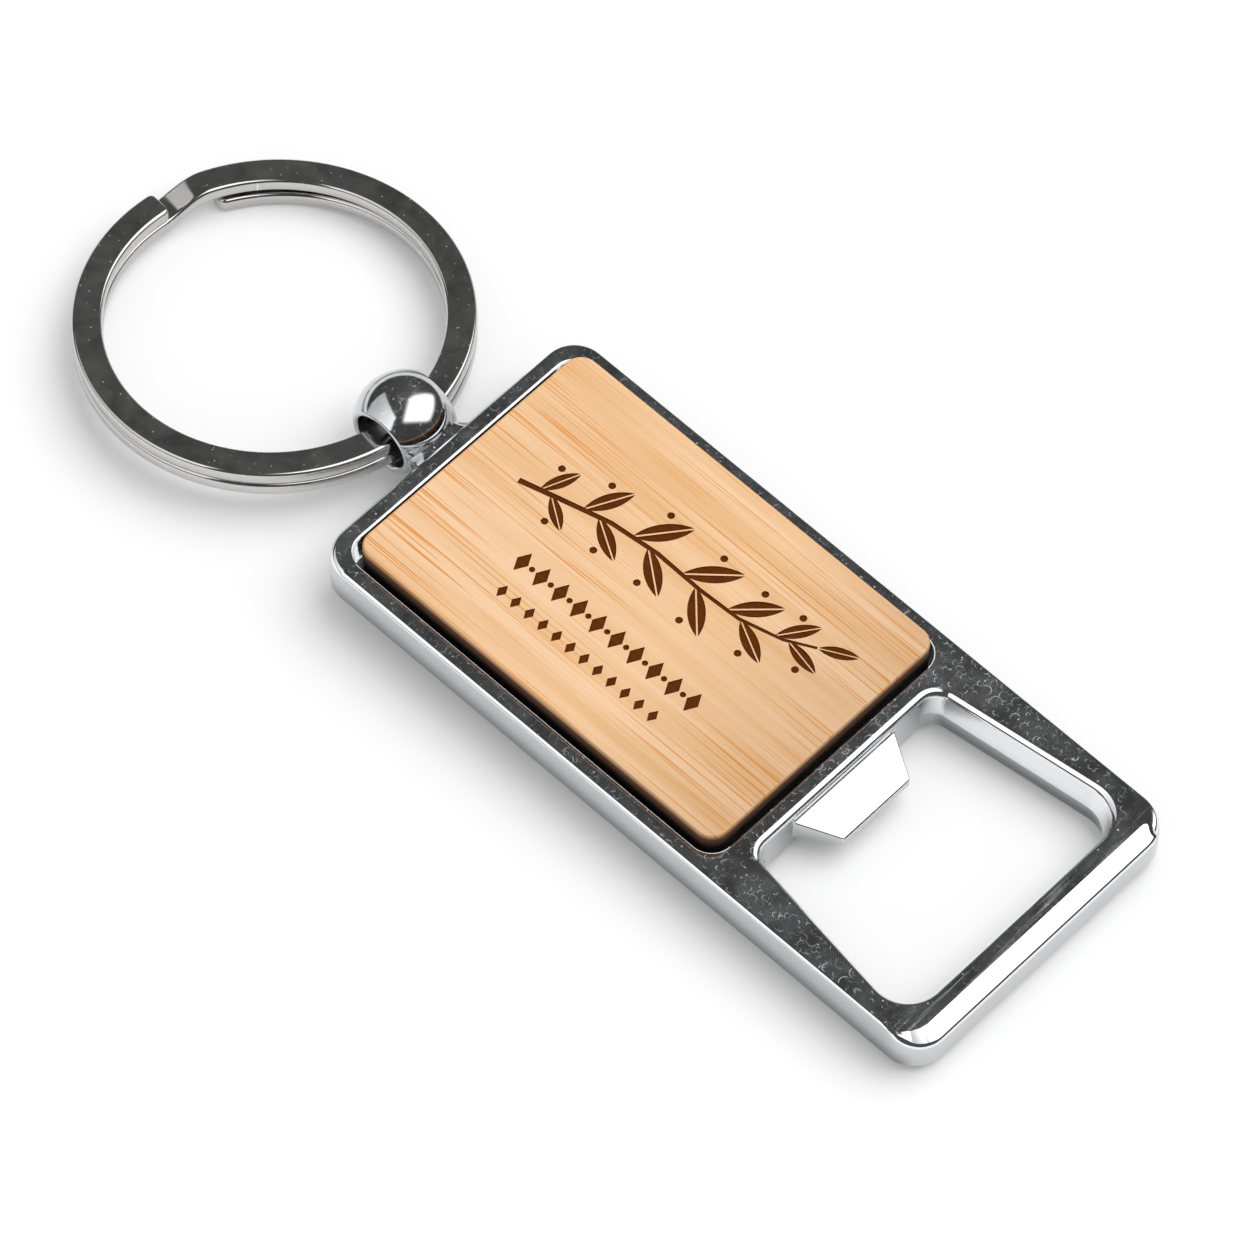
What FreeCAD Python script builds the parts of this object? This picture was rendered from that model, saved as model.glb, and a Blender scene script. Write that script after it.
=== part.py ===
"""Keychain bottle opener: a chromed die-cast frame with a ball lug, a bamboo plate held in its pocket by
double-sided tape, and a flat split ring that swings in the ball's bore.

Frame of the model, in millimetres: the origin is the middle of the frame's flat back, +X runs to the
cap-lifting end, +Y across the width, +Z up through the bamboo plate.  The ring hangs at the -X end.
"""

import FreeCAD, Part
import math
import os

import Sketcher

DOC = FreeCAD.newDocument("BottleOpener")

SIZES = {
    # die-cast frame, its outline and edges
    "body_length": 63.6,
    "body_width": 29.0,
    "body_thickness": 4.4,
    "body_corner_radius": 3.3,
    "front_edge_radius": 0.3,
    "back_edge_radius": 0.8,
    # end bar, the ramp on its outer top edge, and the bridge between plate and window
    "end_bar_width": 3.0,
    "ramp_run": 1.5,
    "ramp_drop": 0.95,
    "bridge_width": 1.65,
    # window that goes over a crown cap; it widens towards the end bar
    "window_length": 18.0,
    "window_near_rail": 4.45,
    "window_far_rail": 2.0,
    "window_near_radius": 1.6,
    "window_far_radius": 3.0,
    "window_edge_chamfer": 0.3,
    "window_back_chamfer": 0.25,
    # tongue that hooks under the cap's skirt
    "tongue_length": 3.5,
    "tongue_root_width": 11.3,
    "tongue_tip_width": 7.4,
    "tongue_root_thickness": 1.75,
    "tongue_tip_thickness": 0.9,
    "tongue_recess": 1.65,
    "tongue_root_overlap": 0.5,
    "tongue_corner_radius": 0.4,
    # pocket for the bamboo plate
    "ring_end_rim": 2.2,
    "side_rim": 1.55,
    "pocket_depth": 1.5,
    "pocket_corner_radius": 1.9,
    "pocket_edge_chamfer": 0.25,
    # bamboo plate and the tape under it
    "plate_gap": 0.35,
    "plate_thickness": 3.0,
    "plate_edge_radius": 0.25,
    "tape_thickness": 0.2,
    "tape_inset": 1.0,
    # ball lug: ball, cross bore and the neck that joins it to the end wall
    "ball_diameter": 8.2,
    "ball_reach": 4.3,
    "bore_play": 0.46,
    "bore_mouth_radius": 0.3,
    "neck_width": 5.6,
    "neck_height": 3.2,
    "neck_edge_radius": 1.2,
    "neck_start_reach": 1.2,
    "neck_bend_reach": 2.4,
    "neck_flare_radius": 2.2,
    "neck_root_depth": 0.2,
    # split ring: two turns of flat wire
    "ring_diameter": 32.0,
    "wire_width": 2.45,
    "wire_thickness": 1.3,
    "wire_edge_radius": 0.25,
    "turn_gap": 0.06,
    "splay_drop": 0.45,
    "bore_seat_clearance": 0.1,
}

ANGLES = {
    # around the ring, from the ball (0) counter-clockwise seen from above
    "cut_angle": 174.5,
    "joggle_angle": 17.5,
    "overlap_gap": 23.5,
    "splay_angle": 70.0,
    # how the ring lies: far side down on the table, one side a little higher
    "ring_tilt": 4.6,
    "ring_roll": 3.0,
}

MARGIN = 2.0
NEAR = 0.01
HALF_TURN = 180


def make_sheet():
    """Put every driving dimension in the spreadsheet, one named cell each."""
    sheet = DOC.addObject("Spreadsheet::Sheet", "Sizes")
    rows = list(SIZES.items()) + list(ANGLES.items())
    for row, (alias, number) in enumerate(rows, start=1):
        sheet.set(f"A{row}", alias)
        sheet.set(f"B{row}", str(number))
        sheet.setAlias(f"B{row}", alias)
    DOC.recompute()
    return sheet


SHEET = make_sheet()


def cell(name):
    """The expression that reads one driving dimension."""
    return f"Sizes.{name}"


def value(expression):
    """The number that an expression gives, in mm or degrees."""
    return float(SHEET.evalExpression(str(expression)))


# Places that several sub-parts share, as expressions of the driving dimensions
HALF_LENGTH = f"({cell('body_length')} / 2)"
HALF_WIDTH = f"({cell('body_width')} / 2)"
TOP = cell("body_thickness")
MIDDLE = f"({TOP} / 2)"

WINDOW_FAR_X = f"({HALF_LENGTH} - {cell('end_bar_width')})"
WINDOW_NEAR_X = f"({WINDOW_FAR_X} - {cell('window_length')})"
WINDOW_NEAR_HALF = f"({HALF_WIDTH} - {cell('window_near_rail')})"
WINDOW_FAR_HALF = f"({HALF_WIDTH} - {cell('window_far_rail')})"
POCKET_FAR_X = f"({WINDOW_NEAR_X} - {cell('bridge_width')})"
POCKET_NEAR_X = f"({cell('ring_end_rim')} - {HALF_LENGTH})"
POCKET_HALF_WIDTH = f"({HALF_WIDTH} - {cell('side_rim')})"
POCKET_FLOOR = f"({TOP} - {cell('pocket_depth')})"

BALL_X = f"(-{HALF_LENGTH} - {cell('ball_reach')})"
BALL_RADIUS = f"({cell('ball_diameter')} / 2)"
RING_RADIUS = f"({cell('ring_diameter')} / 2)"
RING_INNER = f"({RING_RADIUS} - {cell('wire_width')})"
WIRE_RADIUS = f"({RING_RADIUS} - {cell('wire_width')} / 2)"
STACK_HALF = f"({cell('wire_thickness')} + {cell('turn_gap')} / 2)"

# The ring bends while it passes through the ball, so it sweeps wider there than its wire
BEND_IN_BALL = f"({RING_INNER} - sqrt({RING_INNER} ^ 2 - {BALL_RADIUS} ^ 2))"
WIRE_SWEEP_HALF = f"(({cell('wire_width')} + {BEND_IN_BALL}) / 2)"
BORE_RADIUS = f"(sqrt({WIRE_SWEEP_HALF} ^ 2 + {STACK_HALF} ^ 2) + {cell('bore_play')})"
BORE_HALF_LENGTH = f"sqrt({BALL_RADIUS} ^ 2 - {BORE_RADIUS} ^ 2)"
MOUTH_RADIUS = f"({BORE_RADIUS} + {cell('bore_mouth_radius')})"
MOUTH_START = f"(sqrt({BALL_RADIUS} ^ 2 - {MOUTH_RADIUS} ^ 2) - {cell('bore_mouth_radius')} / 2)"

# The two turns rest on the bore's lower wall with their rounded lower edges
SEAT_RADIUS = f"({BORE_RADIUS} - {cell('bore_seat_clearance')} - {cell('wire_edge_radius')})"
SEAT_SPAN = f"({WIRE_SWEEP_HALF} - {cell('wire_edge_radius')})"
SEAT_DEPTH = f"(sqrt({SEAT_RADIUS} ^ 2 - {SEAT_SPAN} ^ 2) + {cell('wire_edge_radius')})"
ROLL_LIFT = f"({BORE_HALF_LENGTH} * sin({cell('ring_roll')} * 1deg))"
RING_DROP = f"({SEAT_DEPTH} - {STACK_HALF} - {ROLL_LIFT})"
RING_REACH = f"({WIRE_RADIUS} - {BEND_IN_BALL} / 2)"


def new_body(label):
    body = DOC.addObject("PartDesign::Body", label)
    body.Label = label
    return body


def origin_plane(body, role):
    return next(item for item in body.Origin.OriginFeatures if item.Role == role)


def new_sketch(body, name, role, offset="0", turn="0", along="0"):
    """A sketch on one of the body's own planes: lifted by offset, moved along its level axis and turned
    about its upright axis."""
    sketch = body.newObject("Sketcher::SketchObject", name)
    sketch.AttachmentSupport = [(origin_plane(body, role), "")]
    sketch.MapMode = "FlatFace"
    sketch.AttachmentOffset = FreeCAD.Placement(
        FreeCAD.Vector(value(along), 0, value(offset)),
        FreeCAD.Rotation(FreeCAD.Vector(0, 1, 0), value(turn)),
    )
    sketch.setExpression("AttachmentOffset.Base.x", along)
    sketch.setExpression("AttachmentOffset.Base.z", offset)
    if turn != "0":
        sketch.setExpression("AttachmentOffset.Rotation.Angle", turn)
    return sketch


def place_point(sketch, geometry, position, x, y):
    """Hold one point of the sketch by its two distances from the origin."""
    for kind, axis, expression in (("DistanceX", -2, x), ("DistanceY", -1, y)):
        if expression == "0":
            sketch.addConstraint(Sketcher.Constraint("PointOnObject", geometry, position, axis))
            continue
        index = sketch.addConstraint(
            Sketcher.Constraint(kind, -1, 1, geometry, position, value(expression))
        )
        sketch.setExpression(f"Constraints[{index}]", expression)


def draw_outline(sketch, corners, arcs=()):
    """A closed outline through corners, given as pairs of expressions.  Its sides are straight, apart from
    those that arcs lists by number, each with a centre and a radius, which turn clockwise about the centre."""
    places = [FreeCAD.Vector(value(x), value(y), 0) for x, y in corners]
    count = len(corners)
    ends = [(1, 2)] * count
    rounded = {side: (centre, radius) for side, centre, radius in arcs}
    for side in range(count):
        here = places[side]
        there = places[(side + 1) % count]
        if side not in rounded:
            sketch.addGeometry(Part.LineSegment(here, there), False)
            continue
        (x, y), radius = rounded[side]
        centre = FreeCAD.Vector(value(x), value(y), 0)
        circle = Part.Circle(centre, FreeCAD.Vector(0, 0, 1), value(radius))
        start = math.atan2(there.y - centre.y, there.x - centre.x)
        stop = math.atan2(here.y - centre.y, here.x - centre.x)
        sketch.addGeometry(Part.ArcOfCircle(circle, start, stop), False)
        ends[side] = (2, 1)
    for side in range(count):
        following = (side + 1) % count
        sketch.addConstraint(
            Sketcher.Constraint("Coincident", side, ends[side][1], following, ends[following][0])
        )
    for side, (x, y) in enumerate(corners):
        place_point(sketch, side, ends[side][0], x, y)
    for side, (_, radius) in rounded.items():
        index = sketch.addConstraint(Sketcher.Constraint("Radius", side, value(radius)))
        sketch.setExpression(f"Constraints[{index}]", radius)


def draw_rounded_rectangle(sketch, low, high, radius):
    """A rectangle from corner low to corner high, pairs of expressions, with four equal round corners."""
    x0, y0 = low
    x1, y1 = high
    centres = [
        (f"({x1} - {radius})", f"({y1} - {radius})"),
        (f"({x0} + {radius})", f"({y1} - {radius})"),
        (f"({x0} + {radius})", f"({y0} + {radius})"),
        (f"({x1} - {radius})", f"({y0} + {radius})"),
    ]
    size = value(radius)
    normal = FreeCAD.Vector(0, 0, 1)
    for quarter, (x, y) in enumerate(centres):
        circle = Part.Circle(FreeCAD.Vector(value(x), value(y), 0), normal, size)
        start = quarter * math.pi / 2
        sketch.addGeometry(Part.ArcOfCircle(circle, start, start + math.pi / 2), False)
    for quarter in range(4):
        here = sketch.Geometry[quarter].EndPoint
        there = sketch.Geometry[(quarter + 1) % 4].StartPoint
        sketch.addGeometry(Part.LineSegment(here, there), False)
    for quarter in range(4):
        line = 4 + quarter
        sketch.addConstraint(Sketcher.Constraint("Tangent", quarter, 2, line, 1))
        sketch.addConstraint(Sketcher.Constraint("Tangent", line, 2, (quarter + 1) % 4, 1))
    for quarter, (x, y) in enumerate(centres):
        place_point(sketch, quarter, 3, x, y)
    index = sketch.addConstraint(Sketcher.Constraint("Radius", 0, size))
    sketch.setExpression(f"Constraints[{index}]", radius)
    for quarter in range(1, 4):
        sketch.addConstraint(Sketcher.Constraint("Equal", 0, quarter))


def pad(body, name, sketch, length, symmetric=False):
    feature = body.newObject("PartDesign::Pad", name)
    feature.Profile = sketch
    if symmetric:
        feature.SideType = "Symmetric"
    feature.setExpression("Length", length)
    DOC.recompute()
    return feature


def cut(body, name, sketch, length, symmetric=False):
    """A pocket that has to remove material, downwards from its sketch or to both sides of it."""
    before = body.Shape.Volume
    feature = body.newObject("PartDesign::Pocket", name)
    feature.Profile = sketch
    if symmetric:
        feature.SideType = "Symmetric"
    feature.setExpression("Length", length)
    DOC.recompute()
    if not feature.Shape.Volume < before:
        raise RuntimeError(f"{name} cut nothing")
    return feature


def edges_where(feature, test):
    """Names of the feature's edges whose box passes the test."""
    names = []
    for index, edge in enumerate(feature.Shape.Edges, start=1):
        if test(edge):
            names.append(f"Edge{index}")
    if not names:
        raise RuntimeError(f"no edge found on {feature.Name}")
    return names


def dress(body, kind, name, base, test, size):
    """A fillet or chamfer on the edges of base that pass the test."""
    feature = body.newObject(f"PartDesign::{kind}", name)
    feature.Base = (base, edges_where(base, test))
    feature.setExpression("Radius" if kind == "Fillet" else "Size", size)
    DOC.recompute()
    return feature


def level(edge, height):
    """True for an edge that lies wholly at one height."""
    box = edge.BoundBox
    return abs(box.ZMin - height) < NEAR and abs(box.ZMax - height) < NEAR


def upright_at(edge, x):
    """True for an upright straight edge at one x."""
    box = edge.BoundBox
    return abs(box.XMin - x) < NEAR and abs(box.XMax - x) < NEAR and box.YLength < NEAR and box.ZLength > NEAR


def inside(edge, x_low, x_high, y_half):
    """True for an edge inside a rectangle about the X axis."""
    box = edge.BoundBox
    return (
        box.XMin > x_low - NEAR
        and box.XMax < x_high + NEAR
        and box.YMin > -y_half - NEAR
        and box.YMax < y_half + NEAR
    )


def make_body_outline(body):
    """The flat casting with round corners, the ramp on its end bar and its softened edges."""
    outline = new_sketch(body, "Outline", "XY_Plane")
    draw_rounded_rectangle(
        outline,
        (f"(-{HALF_LENGTH})", f"(-{HALF_WIDTH})"),
        (HALF_LENGTH, HALF_WIDTH),
        cell("body_corner_radius"),
    )
    slab = pad(body, "Slab", outline, TOP)

    ramp_x = f"({HALF_LENGTH} - {cell('ramp_run')})"
    slope = f"({cell('ramp_drop')} / {cell('ramp_run')})"
    past_end = f"({HALF_LENGTH} + {MARGIN})"
    profile = new_sketch(body, "RampProfile", "XZ_Plane")
    draw_outline(
        profile,
        [
            (ramp_x, TOP),
            (past_end, f"({TOP} - {cell('ramp_drop')} - {MARGIN} * {slope})"),
            (past_end, f"({TOP} + {MARGIN})"),
            (ramp_x, f"({TOP} + {MARGIN})"),
        ],
    )
    ramp = cut(body, "Ramp", profile, f"({cell('body_width')} + {2 * MARGIN})", symmetric=True)

    back = dress(body, "Fillet", "BackEdge", ramp, lambda edge: level(edge, 0.0), cell("back_edge_radius"))
    top = value(TOP)
    ramp_start = value(ramp_x)

    def front_edge(edge):
        return level(edge, top) and edge.BoundBox.XMin < ramp_start - NEAR

    return dress(body, "Fillet", "FrontEdge", back, front_edge, cell("front_edge_radius"))


def make_pocket(body):
    """The shallow pocket for the bamboo plate, with a bright bevel round its rim."""
    outline = new_sketch(body, "PocketOutline", "XY_Plane", TOP)
    draw_rounded_rectangle(
        outline,
        (POCKET_NEAR_X, f"(-{POCKET_HALF_WIDTH})"),
        (POCKET_FAR_X, POCKET_HALF_WIDTH),
        cell("pocket_corner_radius"),
    )
    pocket = cut(body, "Pocket", outline, cell("pocket_depth"))
    top = value(TOP)
    limits = (value(POCKET_NEAR_X), value(POCKET_FAR_X), value(POCKET_HALF_WIDTH))
    return dress(
        body,
        "Chamfer",
        "PocketBevel",
        pocket,
        lambda edge: level(edge, top) and inside(edge, *limits),
        cell("pocket_edge_chamfer"),
    )


def make_window(body):
    """The cap window right through the casting, with round corners and bevelled edges."""
    outline = new_sketch(body, "WindowOutline", "XY_Plane")
    draw_outline(
        outline,
        [
            (WINDOW_NEAR_X, f"(-{WINDOW_NEAR_HALF})"),
            (WINDOW_FAR_X, f"(-{WINDOW_FAR_HALF})"),
            (WINDOW_FAR_X, WINDOW_FAR_HALF),
            (WINDOW_NEAR_X, WINDOW_NEAR_HALF),
        ],
    )
    window = cut(body, "Window", outline, f"({2 * MARGIN} * {TOP})", symmetric=True)
    near_x = value(WINDOW_NEAR_X)
    far_x = value(WINDOW_FAR_X)
    near_corners = dress(
        body,
        "Fillet",
        "WindowNearCorners",
        window,
        lambda edge: upright_at(edge, near_x),
        cell("window_near_radius"),
    )
    far_corners = dress(
        body,
        "Fillet",
        "WindowFarCorners",
        near_corners,
        lambda edge: upright_at(edge, far_x),
        cell("window_far_radius"),
    )
    top = value(TOP)
    limits = (near_x, far_x, value(WINDOW_FAR_HALF))
    front = dress(
        body,
        "Chamfer",
        "WindowBevel",
        far_corners,
        lambda edge: level(edge, top) and inside(edge, *limits),
        cell("window_edge_chamfer"),
    )
    return dress(
        body,
        "Chamfer",
        "WindowBackBevel",
        front,
        lambda edge: level(edge, 0.0) and inside(edge, *limits),
        cell("window_back_chamfer"),
    )


def make_tongue(body):
    """The wedge that hooks the cap: a flat top, and an underside that rises to a thinner, narrower tip."""
    tongue_top = f"({TOP} - {cell('tongue_recess')})"
    root_x = f"({WINDOW_NEAR_X} - {cell('tongue_root_overlap')})"
    tip_x = f"({WINDOW_NEAR_X} + {cell('tongue_length')})"
    stations = (
        ("TongueRoot", root_x, cell("tongue_root_width"), cell("tongue_root_thickness")),
        ("TongueTip", tip_x, cell("tongue_tip_width"), cell("tongue_tip_thickness")),
    )
    sections = []
    for name, x, width, thickness in stations:
        section = new_sketch(body, name, "YZ_Plane", x)
        draw_outline(
            section,
            [
                (f"(-{width} / 2)", f"({tongue_top} - {thickness})"),
                (f"({width} / 2)", f"({tongue_top} - {thickness})"),
                (f"({width} / 2)", tongue_top),
                (f"(-{width} / 2)", tongue_top),
            ],
        )
        sections.append(section)
    tongue = add_loft(body, "Tongue", sections)
    tip = value(tip_x)
    return dress(
        body,
        "Fillet",
        "TongueCorners",
        tongue,
        lambda edge: upright_at(edge, tip),
        cell("tongue_corner_radius"),
    )


def add_loft(body, name, sections):
    feature = body.newObject("PartDesign::AdditiveLoft", name)
    feature.Profile = sections[0]
    feature.Sections = [(section, [""]) for section in sections[1:]]
    DOC.recompute()
    return feature


def make_ball(body):
    """The ball of the lug, level with the middle of the casting's thickness, its poles on the bore's axis."""
    ball = body.newObject("PartDesign::AdditiveSphere", "Ball")
    ball.AttachmentSupport = [(origin_plane(body, "XZ_Plane"), "")]
    ball.MapMode = "FlatFace"
    ball.AttachmentOffset = FreeCAD.Placement(
        FreeCAD.Vector(value(BALL_X), value(MIDDLE), 0), FreeCAD.Rotation(FreeCAD.Vector(0, 0, 1), HALF_TURN)
    )
    ball.setExpression("Radius", BALL_RADIUS)
    ball.setExpression("AttachmentOffset.Base.x", BALL_X)
    ball.setExpression("AttachmentOffset.Base.y", MIDDLE)
    DOC.recompute()
    return ball


def make_neck(body):
    """The neck that runs from inside the ball and flares into the end wall, with its long edges rounded."""
    start = f"({BALL_X} + {cell('neck_start_reach')})"
    bend = f"({BALL_X} + {cell('neck_bend_reach')})"
    root = f"({cell('neck_root_depth')} - {HALF_LENGTH})"
    half = f"({cell('neck_width')} / 2)"
    flare = cell("neck_flare_radius")
    root_half = f"({half} + {flare} - sqrt({flare} ^ 2 - ({root} - {bend}) ^ 2))"
    outline = new_sketch(body, "NeckOutline", "XY_Plane", MIDDLE)
    draw_outline(
        outline,
        [
            (start, f"(-{half})"),
            (bend, f"(-{half})"),
            (root, f"(-{root_half})"),
            (root, root_half),
            (bend, half),
            (start, half),
        ],
        [(1, (bend, f"(-{half} - {flare})"), flare), (3, (bend, f"({half} + {flare})"), flare)],
    )
    neck = pad(body, "Neck", outline, cell("neck_height"), symmetric=True)
    low = value(f"({MIDDLE} - {cell('neck_height')} / 2)")
    high = value(f"({MIDDLE} + {cell('neck_height')} / 2)")

    def long_edge(edge):
        return (level(edge, low) or level(edge, high)) and edge.BoundBox.XLength > NEAR

    return dress(body, "Fillet", "NeckEdges", neck, long_edge, cell("neck_edge_radius"))


def make_bore(body):
    """The bore across the ball, which opens out in a rounded bell at both mouths."""
    outside = f"({BALL_RADIUS} + {MARGIN})"
    mouth_end = f"({MOUTH_START} + {cell('bore_mouth_radius')})"
    profile = new_sketch(body, "BoreProfile", "XY_Plane", MIDDLE, along=BALL_X)
    draw_outline(
        profile,
        [
            ("0", f"(-{outside})"),
            (MOUTH_RADIUS, f"(-{outside})"),
            (MOUTH_RADIUS, f"(-{mouth_end})"),
            (BORE_RADIUS, f"(-{MOUTH_START})"),
            (BORE_RADIUS, MOUTH_START),
            (MOUTH_RADIUS, mouth_end),
            (MOUTH_RADIUS, outside),
            ("0", outside),
        ],
        [
            (2, (MOUTH_RADIUS, f"(-{MOUTH_START})"), cell("bore_mouth_radius")),
            (4, (MOUTH_RADIUS, MOUTH_START), cell("bore_mouth_radius")),
        ],
    )
    before = body.Shape.Volume
    bore = body.newObject("PartDesign::Groove", "Bore")
    bore.Profile = profile
    bore.ReferenceAxis = (profile, ["V_Axis"])
    bore.Angle = 2 * HALF_TURN
    DOC.recompute()
    if not bore.Shape.Volume < before:
        raise RuntimeError("the bore cut nothing")
    return bore


def make_lug():
    """The ball with its bore and its neck, which is cast in one with the frame."""
    body = new_body("lug")
    make_neck(body)
    make_ball(body)
    make_bore(body)
    return body


def make_frame():
    lug = make_lug()
    body = new_body("opener_frame")
    make_body_outline(body)
    make_pocket(body)
    make_window(body)
    make_tongue(body)
    casting = body.newObject("PartDesign::Boolean", "Casting")
    casting.Type = "Fuse"
    casting.setObjects([lug])
    DOC.recompute()
    return body


def make_plate():
    """The bamboo plate, a clearance smaller than its pocket all round and standing proud of the rim."""
    body = new_body("bamboo_plate")
    gap = cell("plate_gap")
    bottom = f"({POCKET_FLOOR} + {cell('tape_thickness')})"
    outline = new_sketch(body, "PlateOutline", "XY_Plane", bottom)
    draw_rounded_rectangle(
        outline,
        (f"({POCKET_NEAR_X} + {gap})", f"({gap} - {POCKET_HALF_WIDTH})"),
        (f"({POCKET_FAR_X} - {gap})", f"({POCKET_HALF_WIDTH} - {gap})"),
        f"({cell('pocket_corner_radius')} - {gap})",
    )
    slab = pad(body, "PlateSlab", outline, cell("plate_thickness"))
    top = value(bottom) + value(cell("plate_thickness"))
    dress(body, "Fillet", "PlateEdge", slab, lambda edge: level(edge, top), cell("plate_edge_radius"))
    return body


def make_tape():
    """The double-sided tape between the pocket's floor and the plate."""
    body = new_body("adhesive_tape")
    inset = f"({cell('plate_gap')} + {cell('tape_inset')})"
    outline = new_sketch(body, "TapeOutline", "XY_Plane", POCKET_FLOOR)
    draw_rounded_rectangle(
        outline,
        (f"({POCKET_NEAR_X} + {inset})", f"({inset} - {POCKET_HALF_WIDTH})"),
        (f"({POCKET_FAR_X} - {inset})", f"({POCKET_HALF_WIDTH} - {inset})"),
        f"({cell('pocket_corner_radius')} - {cell('plate_gap')})",
    )
    pad(body, "TapeSlab", outline, cell("tape_thickness"))
    return body


def wire_section(body, name, bottom, turn):
    """The flat wire's section with softened edges, at one angle round the ring."""
    section = new_sketch(body, name, "XZ_Plane", "0", turn)
    draw_rounded_rectangle(
        section,
        (RING_INNER, bottom),
        (RING_RADIUS, f"({bottom} + {cell('wire_thickness')})"),
        cell("wire_edge_radius"),
    )
    return section


def add_turn(body, name, section, angle):
    feature = body.newObject("PartDesign::Revolution", name)
    feature.Profile = section
    feature.ReferenceAxis = (section, ["V_Axis"])
    feature.setExpression("Angle", angle)
    DOC.recompute()
    return feature


def add_descent(body, name, section, angle, drop):
    """A stretch of wire that goes on round the ring while it comes down by drop."""
    feature = body.newObject("PartDesign::AdditiveHelix", name)
    feature.Profile = section
    feature.ReferenceAxis = (section, ["V_Axis"])
    feature.Mode = "height-turns-angle"
    feature.LeftHanded = True
    feature.Reversed = True
    feature.setExpression("Height", drop)
    feature.setExpression("Turns", f"({angle} / 360)")
    DOC.recompute()
    return feature


def make_ring():
    """Two turns of flat wire: the upper turn, the joggle down beside its cut end, and the lower turn,
    whose loose end stands off a little."""
    body = new_body("split_ring")
    upper_bottom = f"({cell('turn_gap')} / 2)"
    lower_bottom = f"(-{cell('turn_gap')} / 2 - {cell('wire_thickness')})"
    cut_angle = cell("cut_angle")
    joggle = cell("joggle_angle")
    splay = cell("splay_angle")
    whole_lower = f"(360 - {cell('overlap_gap')})"

    upper = wire_section(body, "UpperStart", upper_bottom, cut_angle)
    add_turn(body, "UpperTurn", upper, f"(360 - {joggle})")
    step = wire_section(body, "JoggleStart", upper_bottom, f"({cut_angle} - {joggle})")
    add_descent(body, "Joggle", step, joggle, f"({cell('wire_thickness')} + {cell('turn_gap')})")
    lower = wire_section(body, "LowerStart", lower_bottom, cut_angle)
    add_turn(body, "LowerTurn", lower, f"({whole_lower} - {splay})")
    loose = wire_section(body, "LooseStart", lower_bottom, f"({cut_angle} + {whole_lower} - {splay})")
    add_descent(body, "LooseEnd", loose, splay, cell("splay_drop"))
    place_ring(body)
    return body


def place_ring(body):
    """Lay the ring with its wire in the bore and its far side tipped down about the bore's axis."""
    tilt = -value(cell("ring_tilt"))
    roll = -value(cell("ring_roll"))
    lean = FreeCAD.Rotation(FreeCAD.Vector(0, 1, 0), tilt)
    lean = lean * FreeCAD.Rotation(FreeCAD.Vector(1, 0, 0), roll)
    from_bore = FreeCAD.Rotation(FreeCAD.Vector(0, 1, 0), tilt).multVec(
        FreeCAD.Vector(-value(RING_REACH), 0, -value(RING_DROP))
    )
    bore = FreeCAD.Vector(value(BALL_X), 0, value(MIDDLE))
    body.Placement = FreeCAD.Placement(bore + from_bore, lean)


def check(bodies):
    """Stop before anything is written if any object failed or any sub-part isn't one sound solid."""
    DOC.recompute()
    for item in DOC.Objects:
        if "Invalid" in item.State or "Error" in item.State:
            raise RuntimeError(f"{item.Name} failed: {item.State}")
    for body in bodies:
        shape = body.Shape
        if shape.isNull() or not shape.isValid() or len(shape.Solids) != 1:
            raise RuntimeError(f"{body.Label} is not one valid solid")


def main():
    bodies = [make_frame(), make_plate(), make_tape(), make_ring()]
    check(bodies)
    os.makedirs("parts", exist_ok=True)
    for body in bodies:
        body.Shape.exportStep(os.path.join("parts", f"{body.Label}.step"))
        box = body.Shape.BoundBox
        print(
            f"{body.Label}: {body.Shape.Volume:.2f} mm3, x {box.XMin:.2f} to {box.XMax:.2f}, "
            f"y {box.YMin:.2f} to {box.YMax:.2f}, z {box.ZMin:.2f} to {box.ZMax:.2f}"
        )


main()
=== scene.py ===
"""Keychain bottle opener: the finished looks of its casting, split ring and bamboo plate."""

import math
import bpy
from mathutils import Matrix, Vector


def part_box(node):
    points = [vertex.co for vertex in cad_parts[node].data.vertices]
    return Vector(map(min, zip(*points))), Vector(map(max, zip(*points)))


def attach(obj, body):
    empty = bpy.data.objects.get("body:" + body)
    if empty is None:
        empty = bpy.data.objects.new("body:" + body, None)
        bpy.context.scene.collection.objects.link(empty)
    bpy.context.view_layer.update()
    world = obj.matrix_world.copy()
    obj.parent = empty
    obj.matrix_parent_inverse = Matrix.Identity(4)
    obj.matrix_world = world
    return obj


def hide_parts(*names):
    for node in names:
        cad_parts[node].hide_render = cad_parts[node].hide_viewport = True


bl_info = {
    "name": "Keychain Bottle Opener",
    "version": (1, 0, 0),
    "blender": (4, 5, 0),
    "location": "View3D > Sidebar > Opener",
    "description": "Builds a chromed bottle opener with a bamboo plate and a split ring",
    "category": "Object",
}

from functools import partial

import bmesh
import bpy
from mathutils import Matrix, Vector

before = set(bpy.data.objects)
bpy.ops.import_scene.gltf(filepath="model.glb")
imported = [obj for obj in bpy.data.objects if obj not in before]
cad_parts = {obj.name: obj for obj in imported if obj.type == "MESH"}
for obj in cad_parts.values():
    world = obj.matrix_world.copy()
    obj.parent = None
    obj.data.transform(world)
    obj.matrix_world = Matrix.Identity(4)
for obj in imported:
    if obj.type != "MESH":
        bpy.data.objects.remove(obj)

MM = 0.001
UP = (0, 0, 1)
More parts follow.
